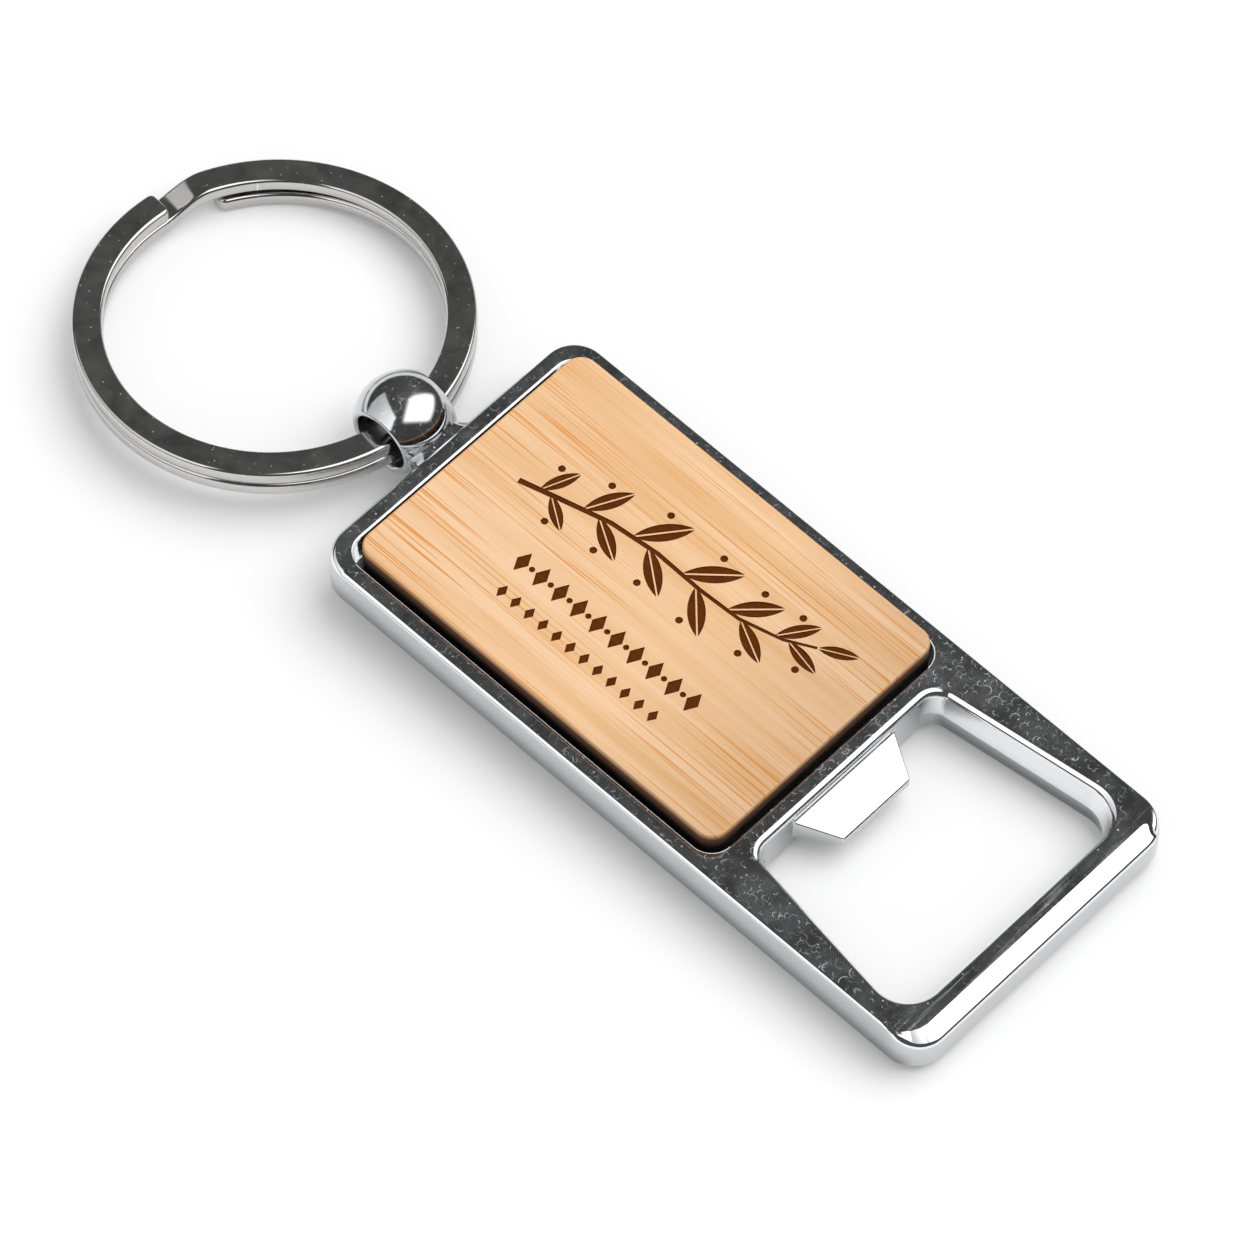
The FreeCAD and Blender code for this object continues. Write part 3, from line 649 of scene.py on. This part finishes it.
def ball_and_neck(size):
    bpy.ops.mesh.primitive_uv_sphere_add(
        segments=96, ring_count=64, radius=size.ball / 2, location=BALL_CENTRE, rotation=(math.pi / 2, 0, 0)
    )
    ball = newest("ball")
    bpy.ops.object.transform_apply()
    place, half_width, half_height = (v * MM for v in NECK[0])
    start = (place, 0, BALL_CENTRE.z)
    bpy.ops.mesh.primitive_circle_add(
        vertices=48, radius=1, fill_type="NGON", location=start, rotation=(0, math.pi / 2, 0)
    )
    neck = newest("neck")
    neck.scale = (half_height, half_width, 1)
    bpy.ops.object.transform_apply()
    open_mesh(neck)
    bpy.ops.mesh.select_all(action="SELECT")
    for station in NECK[1:]:
        x, y, z = (v * MM for v in station)
        step_out((x - place, 0, 0), (1, y / half_width, z / half_height), (x, 0, BALL_CENTRE.z))
        place, half_width, half_height = x, y, z
    close_mesh()
    tidy_mesh(neck)
    combine(ball, neck, "UNION")
    return ball


def draw_tongue(casting):
    """Marks the tongue's root out on the window's near wall and draws it out of that wall."""
    tip = WINDOW_NEAR + TONGUE_LENGTH
    open_mesh(casting)

    def near_wall(f):
        return f.normal.x > 0.99 and abs(f.calc_center_median().x - WINDOW_NEAR) < 0.02 * MM

    def middle(f):
        return near_wall(f) and abs(f.calc_center_median().y) < CLOSE

    def root(f):
        return middle(f) and TONGUE_LOW < f.calc_center_median().z < TONGUE_HIGH

    for side in (1, -1):
        choose(casting, "faces", near_wall)
        cut_plane((0, side * TONGUE_HALF, 0), (0, 1, 0), keep="both", whole=False)
    for height in (TONGUE_LOW, TONGUE_HIGH):
        choose(casting, "faces", middle)
        cut_plane((0, 0, height), UP, keep="both", whole=False)
    choose(casting, "faces", root)
    middle_height = (TONGUE_LOW + TONGUE_HIGH) / 2
    shares = (1, TONGUE_TIP_HALF / TONGUE_HALF, TONGUE_TIP_THICKNESS / (TONGUE_HIGH - TONGUE_LOW))
    step_out((TONGUE_LENGTH, 0, 0), shares, (tip, 0, middle_height))
    bpy.ops.transform.translate(value=(0, 0, TONGUE_TIP_TOP - middle_height - TONGUE_TIP_THICKNESS / 2))

    def tip_corner(e):
        return all(abs(p.x - tip) < FINE * 10 and abs(p.y) > TONGUE_TIP_HALF - CLOSE for p in ends(e))

    def rim(e):
        (x1, y1, z1), (x2, y2, z2) = ends(e)
        on_tongue = (
            min(x1, x2) > WINDOW_NEAR - TOUCH
            and max(x1, x2) < tip + CLOSE
            and max(abs(y1), abs(y2)) < TONGUE_HALF + CLOSE
            and TONGUE_LOW - CLOSE < min(z1, z2)
            and max(z1, z2) < TONGUE_HIGH + CLOSE
        )
        faces = [f.normal for f in e.link_faces]
        return on_tongue and len(faces) == 2 and faces[0].angle(faces[1]) > math.radians(40)

    round_off(casting, tip_corner, TONGUE_CORNER, 4, clamp=True)
    round_off(casting, rim, TONGUE_RIM, 3, clamp=True)
    close_mesh()


def casting_form(size):
    """The outer form: a block with rounded corners, a crowned wall, a rounded back and the end bar's ramp."""
    thick, half_length, half_width = size.thickness, size.length / 2, size.width / 2
    casting = add_block("casting", (-half_length, -half_width, 0), (half_length, half_width, thick))
    open_mesh(casting)
    round_off(casting, upright, size.corner, 14)
    # the outer wall is crowned: it leans in a little towards the face
    for height, inset in CROWN:
        if height < thick:
            cut_plane((0, 0, height), UP, keep="both")
        choose(casting, "verts", lambda v: abs(v.co.z - height) < TOUCH)
        shares = (1 - inset / half_length, 1 - inset / half_width, 1)
        bpy.ops.transform.resize(value=shares, center_override=(0, 0, height))
    lean = math.atan2(size.ramp_drop, size.ramp_run)
    # the ramp turns round the corner at its -Y end
    centre = Vector((half_length - size.corner, size.corner - half_width, thick))
    for turn, reach in RAMP_ENDS:
        out = Vector((math.cos(math.radians(turn)), -math.sin(math.radians(turn)), 0))
        slope = out * math.sin(lean) + Vector((0, 0, math.cos(lean)))
        cut_plane(centre + out * (reach * size.corner), slope)

    def face_edge(e):
        return at_height(e, thick) and any(abs(f.normal.z) < 0.2 for f in e.link_faces)

    round_off(casting, lambda e: at_height(e, 0), size.back_edge, 8)
    round_off(casting, face_edge, size.top_edge, 6)
    close_mesh()
    combine(casting, ramp_cutter(size), "DIFFERENCE")
    open_mesh(casting)
    # keeps the shading of the ramp's ends off the long edges
    choose(casting, "faces", lambda f: abs(f.normal.y) > 0.1 and abs(f.normal.x) < 0.05 and f.normal.z > -0.1)
    cut_plane((EDGE_PARTING, 0, 0), (1, 0, 0), keep="both", whole=False)

    def on_ramp(f):
        return f.normal.x > 0.05 and abs(f.normal.z - math.cos(lean)) < 0.01 and f.calc_area() > 0.02 * MM**2

    def outer_wall(f, near_side):
        x, y, z = f.normal
        return z < 0.2 and (near_side or x > 0.2 and y > -0.01)

    def ramp_foot(e):
        near_side = ends(e)[0].y < 0
        walls = sum(outer_wall(f, near_side) for f in e.link_faces)
        return walls == 1 and sum(on_ramp(f) for f in e.link_faces) == 1

    round_off(casting, ramp_foot, RAMP_FOOT_RADIUS, 6)
    close_mesh()
    return casting


def round_openings(casting, size):
    """Rounds the rims of the window and the pocket, and keeps the window's waist sharp."""
    near, far, half = POCKET
    open_mesh(casting)

    def window_rim(e, z):
        x, y, _ = (ends(e)[0] + ends(e)[1]) / 2
        walls = [f for f in e.link_faces if abs(f.normal.z) < 0.4]
        along = WINDOW_NEAR - WINDOW_MARGIN < x < WINDOW_FAR + WINDOW_MARGIN
        return along and abs(y) < FAR_HALF + WINDOW_MARGIN and at_height(e, z) and len(walls) == 1

    def pocket_rim(e):
        x, y, _ = (ends(e)[0] + ends(e)[1]) / 2
        walls = [f for f in e.link_faces if f.normal.z < 0.95]
        along = max(p.x for p in ends(e)) > near - POCKET_MARGIN and x < far + POCKET_MARGIN
        return along and abs(y) < half + POCKET_MARGIN and at_height(e, size.thickness) and len(walls) == 1

    round_off(casting, lambda e: window_rim(e, size.thickness), size.window_rim, 6)
    round_off(casting, lambda e: window_rim(e, 0), BACK_RIM, 3)
    round_off(casting, pocket_rim, POCKET_RIM, 2, clamp=True)
    choose(casting, "edges", lambda e: at_height(e, WAIST_HEIGHT) and min(p.x for p in ends(e)) > WINDOW_NEAR)
    bpy.ops.mesh.mark_sharp()
    close_mesh()


def make_casting(size, colours):
    casting = casting_form(size)
    combine(casting, window_cutter(size), "DIFFERENCE")
    combine(casting, pocket_cutter(size), "DIFFERENCE")
    round_openings(casting, size)
    draw_tongue(casting)
    combine(casting, ball_and_neck(size), "UNION")
    combine(casting, bore_cutter(size), "DIFFERENCE")
    dress(casting, polished_chrome(colours), painted_rim_line(colours))
    # the faces round the pocket's rim take the pale line of painted highlight
    near, far, half = POCKET
    around = 0.2 * MM
    for face in casting.data.polygons:
        x, y, z = face.center
        beside = near - around < x < far + around and half - POCKET_CORNER < abs(y) < half + around
        if beside and abs(z - size.thickness) < 0.15 * MM and 0.1 < face.normal.z < 0.95:
            face.material_index = 1
    smooth(casting)
    return casting


# ---------------------------------------------------------------- the split ring

RING_PLACE = Vector((-50.4736, 0, 0.5782)) * MM
RING_TILT, RING_ROLL = -4.6, -3.0
CUT_ANGLE, JOGGLE_ANGLE, OVERLAP_ANGLE, SPLAY_ANGLE = 174.5, 17.5, 266.5, 70.0
TIP_LENGTH, CUT_ROUNDING = 0.95 * MM, 0.45 * MM


def wind(angle, steps, drop=0.0):
    """Winds the selected section round the ring's middle, in small turns where it comes down by a drop."""
    turns = steps if drop else 1
    done = 0.0
    for i in range(1, turns + 1):
        bpy.ops.mesh.spin(
            steps=steps // turns,
            angle=-math.radians(angle / turns),
            center=(0, 0, 0),
            axis=UP,
            use_auto_merge=False,
        )
        t = i / turns
        now = drop * t * t * (3 - 2 * t)
        bpy.ops.transform.translate(value=(0, 0, done - now))
        done = now


def close_off(end, along, reach, last, narrowing, thinning):
    """Draws an end of the wire out along a curve, up to its last angle in degrees, and makes it narrower
    and thinner by a share."""
    out, wide, high = 0.0, 1.0, 1.0
    steps = 8
    for i in range(1, steps + 1):
        angle = math.radians(last * i / steps)
        new_out = reach * math.sin(angle)
        new_wide = 1 - narrowing * (1 - math.cos(angle))
        new_high = 1 - thinning * (1 - math.cos(angle))
        shares = (new_wide / wide, new_wide / wide, new_high / high)
        step_out(along * (new_out - out), shares, end + along * new_out)
        out, wide, high = new_out, new_wide, new_high


def make_ring(size, colours):
    middle_radius = (size.diameter - size.wire_width) / 2
    level = (size.turn_gap + size.wire_thickness) / 2
    start = Vector((middle_radius, 0, level))
    bpy.ops.mesh.primitive_plane_add(size=1, location=start, rotation=(math.pi / 2, 0, 0))
    ring = newest("ring")
    ring.scale = (size.wire_width, size.wire_thickness, 1)
    bpy.ops.object.transform_apply()
    open_mesh(ring)
    bpy.ops.mesh.select_all(action="SELECT")
    bpy.ops.mesh.bevel(offset=size.wire_edge, segments=4, affect="VERTICES")
    bpy.ops.mesh.select_all(action="SELECT")
    wind(360 - JOGGLE_ANGLE, 170)
    wind(JOGGLE_ANGLE, 16, 2 * level)
    wind(OVERLAP_ANGLE, 132)
    wind(SPLAY_ANGLE, 36, size.splay)
    # the loose end's rounded tip
    facing = math.radians(360 + OVERLAP_ANGLE + SPLAY_ANGLE)
    along = Vector((-math.sin(facing), math.cos(facing), 0))
    end = Vector((along.y * middle_radius, -along.x * middle_radius, -level - size.splay))
    close_off(end, along, TIP_LENGTH, last=80, narrowing=1.0, thinning=0.5)

    # and the rounded corners of the cut one
    def cut_end(f):
        x, y, _ = f.calc_center_median()
        return len(f.verts) > 6 and abs(y) < TOUCH and x > 0

    choose(ring, "faces", cut_end)
    close_off(start, Vector((0, -1, 0)), CUT_ROUNDING, last=90, narrowing=0.3, thinning=0.2)
    close_mesh()
    tidy_mesh(ring)
    smooth(ring, 40)
    turn = Matrix.Rotation(math.radians(CUT_ANGLE), 4, "Z")
    lie = Matrix.Rotation(math.radians(RING_TILT), 4, "Y") @ Matrix.Rotation(math.radians(RING_ROLL), 4, "X")
    ring.matrix_world = Matrix.Translation(RING_PLACE) @ lie @ turn
    activate(ring)
    bpy.ops.object.transform_apply()
    dress(ring, nickel_plate(colours))
    return ring


# ---------------------------------------------------------------- the bamboo plate


# the sprig's stem, and its leaves: place along the stem, side, length and lean from the stem
STEM = (
    (-24.0, 0.6),
    (-20.5, 1.6),
    (-16.5, 2.7),
    (-12.0, 3.2),
    (-7.5, 3.1),
    (-3.5, 3.3),
    (0.2, 4.3),
    (2.6, 5.6),
)
LEAVES = (
    (0.06, 1, 3.6, 52),
    (0.10, -1, 3.4, 50),
    (0.20, 1, 4.4, 48),
    (0.25, -1, 4.2, 46),
    (0.35, 1, 5.0, 46),
    (0.40, -1, 4.6, 44),
    (0.51, 1, 5.0, 44),
    (0.56, -1, 4.6, 44),
    (0.67, 1, 4.6, 42),
    (0.72, -1, 4.2, 42),
    (0.83, 1, 3.8, 40),
    (0.88, -1, 3.6, 40),
    (1.0, 0, 3.4, 0),
)
# its berries: size, reach in the leaf's length, and turn from the leaf in radians
BERRY, BERRY_REACH, BERRY_TURN = (0.62, 0.62), 0.72, 0.42
# the ornament's rows below the sprig: shape, place of the first, distance, number, row and size
ROWS = (
    ("lozenge", -18.9, 2.0, 10, -4.6, (1.15, 2.1)),
    ("dot", -17.9, 2.0, 9, -4.6, (0.5, 0.5)),
    ("lozenge", -18.2, 1.45, 12, -7.6, (0.8, 1.3)),
)


def stem_point(t):
    """A point of the stem and its direction."""
    whole = t * (len(STEM) - 1)
    i = min(int(whole), len(STEM) - 2)
    a, b = Vector(STEM[i]), Vector(STEM[i + 1])
    return a.lerp(b, whole - i), (b - a).normalized()


def stamp(template, place, angle, stretch):
    """A copy of a flat shape with its own mesh, at a place on the plate's face."""
    copy = template.copy()
    copy.data = template.data.copy()
    bpy.context.collection.objects.link(copy)
    copy.data.transform(
        Matrix.Translation((place[0] * MM, place[1] * MM, 0))
        @ Matrix.Rotation(angle, 4, "Z")
        @ Matrix.Diagonal((stretch[0] * MM, stretch[1] * MM, 1, 1))
    )
    return copy


def leaf_shape():
    """A pointed leaf one unit long, in two halves with a bare vein between them."""
    arc, centre, half_vein = 0.82, (0.5, -0.65, 0), 0.016
    bpy.ops.mesh.primitive_circle_add(vertices=128, radius=arc, fill_type="NGON", location=centre)
    leaf = newest("leaf")
    bpy.ops.object.transform_apply()
    open_mesh(leaf)
    cut_plane((0, half_vein, 0), (0, 1, 0), keep="outer")
    bpy.ops.mesh.select_all(action="SELECT")
    bpy.ops.mesh.duplicate()
    bpy.ops.transform.resize(value=(1, -1, 1), center_override=(0, 0, 0))
    bpy.ops.mesh.flip_normals()
    close_mesh()
    return leaf


def disc_shape(corners):
    bpy.ops.mesh.primitive_circle_add(vertices=corners, radius=0.5, fill_type="NGON")
    return newest("disc")


def stem_shape():
    """A ribbon that is drawn out along the stem and grows thinner."""
    steps, wide, narrow = 42, 0.5, 0.24
    bpy.ops.mesh.primitive_plane_add(size=1)
    stem = newest("stem")
    here, along = stem_point(0)
    facing, width = math.atan2(along.y, along.x), wide
    stem.data.transform(
        Matrix.Translation((here.x * MM, here.y * MM, 0))
        @ Matrix.Rotation(facing, 4, "Z")
        @ Matrix.Diagonal((0.3 * MM, width * MM, 1, 1))
        @ Matrix.Translation((-0.5, 0, 0))
    )
    open_mesh(stem)
    choose(stem, "edges", lambda e: all((p / MM - here.to_3d()).length < 0.3 for p in ends(e)))
    for i in range(1, steps + 1):
        place, along = stem_point(i / steps)
        new_width, new_facing = wide - (wide - narrow) * i / steps, math.atan2(along.y, along.x)
        middle = (place.x * MM, place.y * MM, 0)
        step_out(((place.x - here.x) * MM, (place.y - here.y) * MM, 0), (new_width / width,) * 3, middle)
        bpy.ops.transform.rotate(value=-(new_facing - facing), orient_axis="Z", center_override=middle)
        here, facing, width = place, new_facing, new_width
    close_mesh()
    return stem


def ornament_cutter(size, colours):
    """The ornament's flat shapes, drawn down into the plate's face as one cutter."""
    leaf, dot, lozenge = leaf_shape(), disc_shape(16), disc_shape(4)
    parts = [stem_shape()]
    for t, side, long, lean in LEAVES:
        place, along = stem_point(t)
        angle = math.atan2(along.y, along.x) + side * math.radians(lean)
        parts.append(stamp(leaf, place, angle, (long, long * 0.92)))
        if side:
            beside = angle + side * BERRY_TURN
            out = place + BERRY_REACH * long * Vector((math.cos(beside), math.sin(beside)))
            parts.append(stamp(dot, out, 0, BERRY))
    for shape, start, pitch, count, row, stretch in ROWS:
        for i in range(count):
            template = {"dot": dot, "lozenge": lozenge}[shape]
            parts.append(stamp(template, (start + pitch * i, row), 0, stretch))
    for template in (leaf, dot, lozenge):
        bpy.data.objects.remove(template)
    cutter = parts[0]
    activate(cutter)
    for part in parts:
        part.select_set(True)
    bpy.ops.object.join()
    open_mesh(cutter)
    bpy.ops.mesh.select_all(action="SELECT")
    bpy.ops.transform.translate(value=(0, 0, PLATE_HIGH.z - size.engraving))
    bpy.ops.mesh.extrude_region_move(TRANSFORM_OT_translate={"value": (0, 0, 0.5 * MM)})
    bpy.ops.mesh.select_all(action="SELECT")
    bpy.ops.mesh.normals_make_consistent(inside=False)
    close_mesh()
    dress(cutter, burnt_bamboo(colours))
    return cutter


def make_plate(size, colours):
    plate = add_block("plate", PLATE_LOW, PLATE_HIGH)
    open_mesh(plate)
    round_off(plate, upright, size.corner, 8)
    round_off(plate, lambda e: at_height(e, PLATE_HIGH.z), size.edge, 3)
    close_mesh()
    dress(plate, bamboo(colours, "bamboo_sanded", False), bamboo(colours, "bamboo_scorched_edge", True))
    for face in plate.data.polygons:
        face.material_index = 0 if face.normal.z > 0.9 else 1
    combine(plate, ornament_cutter(size, colours), "DIFFERENCE", crossing=True)
    smooth(plate)
    return plate


# ---------------------------------------------------------------- the stage

CAMERA_PLACE = (0.230517, -0.271393, 0.597289)
CAMERA_AXES = ((0.72265, 0.69091, 0.02048), (-0.5982, 0.6103, 0.51931), (0.3463, -0.38753, 0.85434))
CAMERA_LENS, CAMERA_SENSOR = 259.4, 36
FLOOR_TILT, FLOOR_HEIGHT, FLOOR_RADIUS = 1.6231, -0.895 * MM, 2.0
# the dome of the dark room, and the height at which it ends over the floor
DOME_RADIUS, DOME_FOOT = 1.9, 0.05
WHITE = (1, 1, 1, 1)


def seen_straight(node, *kinds):
    """One for the camera's rays, for those of polished metal and for the other kinds that are named."""
    path = node("LightPath").outputs
    seen = path["Is Camera Ray"]
    for kind in ("Is Glossy Ray", *kinds):
        seen = node("Math", (seen, path[kind]), operation="MAXIMUM")
    return seen


def studio_paper(colours):
    """White paper: matt, and plain white to the eye and in the metal away from the opener's shadow."""
    finish, node = new_finish("studio_paper_white")
    paper = node("BsdfDiffuse", {"Color": colours.floor, "Roughness": 0.5})
    white = node("Emission", {"Color": WHITE, "Strength": 1.0})
    place = node("TexCoord").outputs["Object"]
    away = node("VectorMath", (place,), operation="LENGTH").outputs["Value"]
    fade = node("MapRange", (away, 0.05, 0.14, 0.1, 1.0), interpolation_type="SMOOTHSTEP")
    share = node("Math", (fade, seen_straight(node)), operation="MULTIPLY")
    node("OutputMaterial", (node("MixShader", (share, paper, white)),))
    return finish


# the corners of what polished metal shows over the horizon, as directions from the opener
KEY_PANEL = ((0.889, 0.40, 0.567), (0.1, 1.15, 0.38), (-0.16, 0.41, 1.0), (0.34, -0.45, 0.83))
SIDE_PANEL = ((-0.83, -0.55, 0.0), (0.11, -0.88, 0.40), (0.016, -0.51, 0.85), (-0.84, 0.05, 0.53))
KEY_GLOW, ROOM_GLOW = 2.0, 0.068


def panel_share(node, direction, corners, soft):
    """One inside a four-cornered panel and nothing outside it, with a soft edge."""
    share = None
    for i, corner in enumerate(corners):
        across = Vector(corner).cross(Vector(corners[(i + 1) % 4])).normalized()
        inside = node("VectorMath", (direction, across), operation="DOT_PRODUCT").outputs["Value"]
        step = node("MapRange", (inside, -soft, soft), interpolation_type="SMOOTHSTEP")
        share = node("Math", (share, step), operation="MULTIPLY") if share else step
    return share


def dark_ceiling():
    """The dark room over the set, with the key softbox and a pale reflector at its side: what polished metal
    shows over the horizon."""
    finish, node = new_finish("studio_room_dark")
    place = node("TexCoord").outputs["Object"]
    direction = node("VectorMath", (place,), operation="NORMALIZE")
    key = panel_share(node, direction, KEY_PANEL, soft=0.1)
    side = panel_share(node, direction, SIDE_PANEL, soft=0.02)
    # the reflector is brightest at its end towards +X
    pale = node("MapRange", (node("SeparateXYZ", (direction,)), -0.8, 0.1, 0.6, 1.5))
    side = node("Math", (side, pale), operation="MULTIPLY")
    glow = node("Math", (key, KEY_GLOW, side), operation="MULTIPLY_ADD")
    glow = node("Math", (glow, ROOM_GLOW), operation="ADD")
    light = node("Emission", {"Color": WHITE, "Strength": glow})
    node("OutputMaterial", (light,))
    return finish


def add_lamp(name, direction, distance, wide, high, power):
    """A softbox that faces the opener."""
    direction = Vector(direction).normalized()
    bpy.ops.object.light_add(type="AREA", location=direction * distance)
    lamp = newest(name)
    lamp.rotation_euler = direction.to_track_quat("Z", "Y").to_euler()
    lamp.data.shape = "RECTANGLE"
    lamp.data.size, lamp.data.size_y = wide, high
    lamp.data.energy = power
    # metal shows the panels of the dark room's dome instead
    lamp.visible_camera = lamp.visible_glossy = False


def set_world():
    """Soft light from all round, plain white to the eye and in the metal."""
    world = bpy.data.worlds.new("studio")
    bpy.context.scene.world = world
    world.use_nodes = True
    node = node_adder(world.node_tree)
    soft = node("Background", {"Color": WHITE, "Strength": 0.6})
    white = node("Background", {"Color": WHITE, "Strength": 1.0})
    mix = node("MixShader", (seen_straight(node, "Is Transmission Ray"), soft, white))
    node("OutputWorld", (mix,))


def set_camera():
    """The photograph's camera, worked out from the split ring and the casting's edges."""
    bpy.ops.object.camera_add()
    camera = newest("camera")
    axes = Matrix(CAMERA_AXES).transposed().to_4x4()
    camera.matrix_world = Matrix.Translation(CAMERA_PLACE) @ axes
    camera.data.lens, camera.data.sensor_width = CAMERA_LENS, CAMERA_SENSOR
    camera.data.clip_start, camera.data.clip_end = 0.01, 20
    bpy.context.scene.camera = camera
    bpy.context.scene.view_settings.view_transform = "Standard"


def make_stage(colours):
    tilt = (0, -math.radians(FLOOR_TILT), 0)
    bpy.ops.mesh.primitive_circle_add(
        vertices=96, radius=FLOOR_RADIUS, fill_type="NGON", location=(0, 0, FLOOR_HEIGHT), rotation=tilt
    )
    floor = newest("floor")
    dress(floor, studio_paper(colours))
    bpy.ops.mesh.primitive_uv_sphere_add(segments=48, ring_count=24, radius=DOME_RADIUS)
    cloth = newest("cloth")
    open_mesh(cloth)
    bpy.ops.mesh.select_all(action="SELECT")
    bpy.ops.mesh.bisect(plane_co=(0, 0, DOME_FOOT), plane_no=UP, clear_inner=True, threshold=FINE)
    close_mesh()
    dress(cloth, dark_ceiling())
    cloth.visible_camera = cloth.visible_diffuse = cloth.visible_shadow = cloth.visible_transmission = False
    add_lamp("softbox_key", direction=(0.17, 0.42, 0.87), distance=1.0, wide=1.04, high=0.85, power=8.1)
    set_world()
    set_camera()


# ---------------------------------------------------------------- operators, panel and main


class OPENER_OT_casting(bpy.types.Operator):
    """Models the chromed casting with its pocket, window, tongue, neck and ball"""

    bl_idname = "opener.casting"
    bl_label = "Casting"

    def execute(self, context):
        scene = context.scene
        piece = make_casting(scene.opener_casting, scene.opener_colours)
        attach(piece, "frame")
        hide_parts("opener_frame")
        return {"FINISHED"}


class OPENER_OT_ring(bpy.types.Operator):
    """Winds the split ring out of flat wire"""

    bl_idname = "opener.ring"
    bl_label = "Split ring"

    def execute(self, context):
        scene = context.scene
        piece = make_ring(scene.opener_ring, scene.opener_colours)
        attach(piece, "ring")
        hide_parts("split_ring")
        return {"FINISHED"}


class OPENER_OT_plate(bpy.types.Operator):
    """Models the bamboo plate with its scorched edge, darkened by painted shade towards its foot, and burnt
    ornament
    """

    bl_idname = "opener.plate"
    bl_label = "Bamboo plate"

    def execute(self, context):
        scene = context.scene
        piece = make_plate(scene.opener_plate, scene.opener_colours)
        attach(piece, "frame")
        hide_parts("bamboo_plate")
        return {"FINISHED"}


class OPENER_OT_tape(bpy.types.Operator):
    """Gives the tape under the plate its finish"""

    bl_idname = "opener.tape"
    bl_label = "Tape"

    def execute(self, context):
        dress(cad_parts["adhesive_tape"], foam_tape(context.scene.opener_colours))
        return {"FINISHED"}


class OPENER_OT_stage(bpy.types.Operator):
    """Sets the floor, lamps and camera"""

    bl_idname = "opener.stage"
    bl_label = "Stage"

    def execute(self, context):
        make_stage(context.scene.opener_colours)
        return {"FINISHED"}


class OPENER_PT_panel(bpy.types.Panel):
    """Lists the opener's sizes, colours and pieces"""

    bl_label = "Bottle Opener"
    bl_idname = "OPENER_PT_panel"
    bl_space_type = "VIEW_3D"
    bl_region_type = "UI"
    bl_category = "Opener"

    def draw(self, context):
        layout = self.layout
        for name in SETTINGS:
            box = layout.box()
            group = getattr(context.scene, name)
            for field in group.__annotations__:
                box.prop(group, field)
        for piece in OPERATORS:
            layout.operator(piece.bl_idname)


SETTINGS = {
    "opener_casting": CastingSizes,
    "opener_ring": RingSizes,
    "opener_plate": PlateSizes,
    "opener_colours": FinishColours,
}
OPERATORS = (OPENER_OT_casting, OPENER_OT_plate, OPENER_OT_tape, OPENER_OT_ring, OPENER_OT_stage)


def register():
    for kind in (*SETTINGS.values(), *OPERATORS, OPENER_PT_panel):
        bpy.utils.register_class(kind)
    for name, group in SETTINGS.items():
        setattr(bpy.types.Scene, name, bpy.props.PointerProperty(type=group))


def unregister():
    for name in SETTINGS:
        delattr(bpy.types.Scene, name)
    for kind in reversed((*SETTINGS.values(), *OPERATORS, OPENER_PT_panel)):
        bpy.utils.unregister_class(kind)


def main():
    register()
    bpy.ops.opener.casting()
    bpy.ops.opener.plate()
    bpy.ops.opener.tape()
    bpy.ops.opener.ring()
    bpy.ops.opener.stage()


if __name__ == "__main__":
    main()
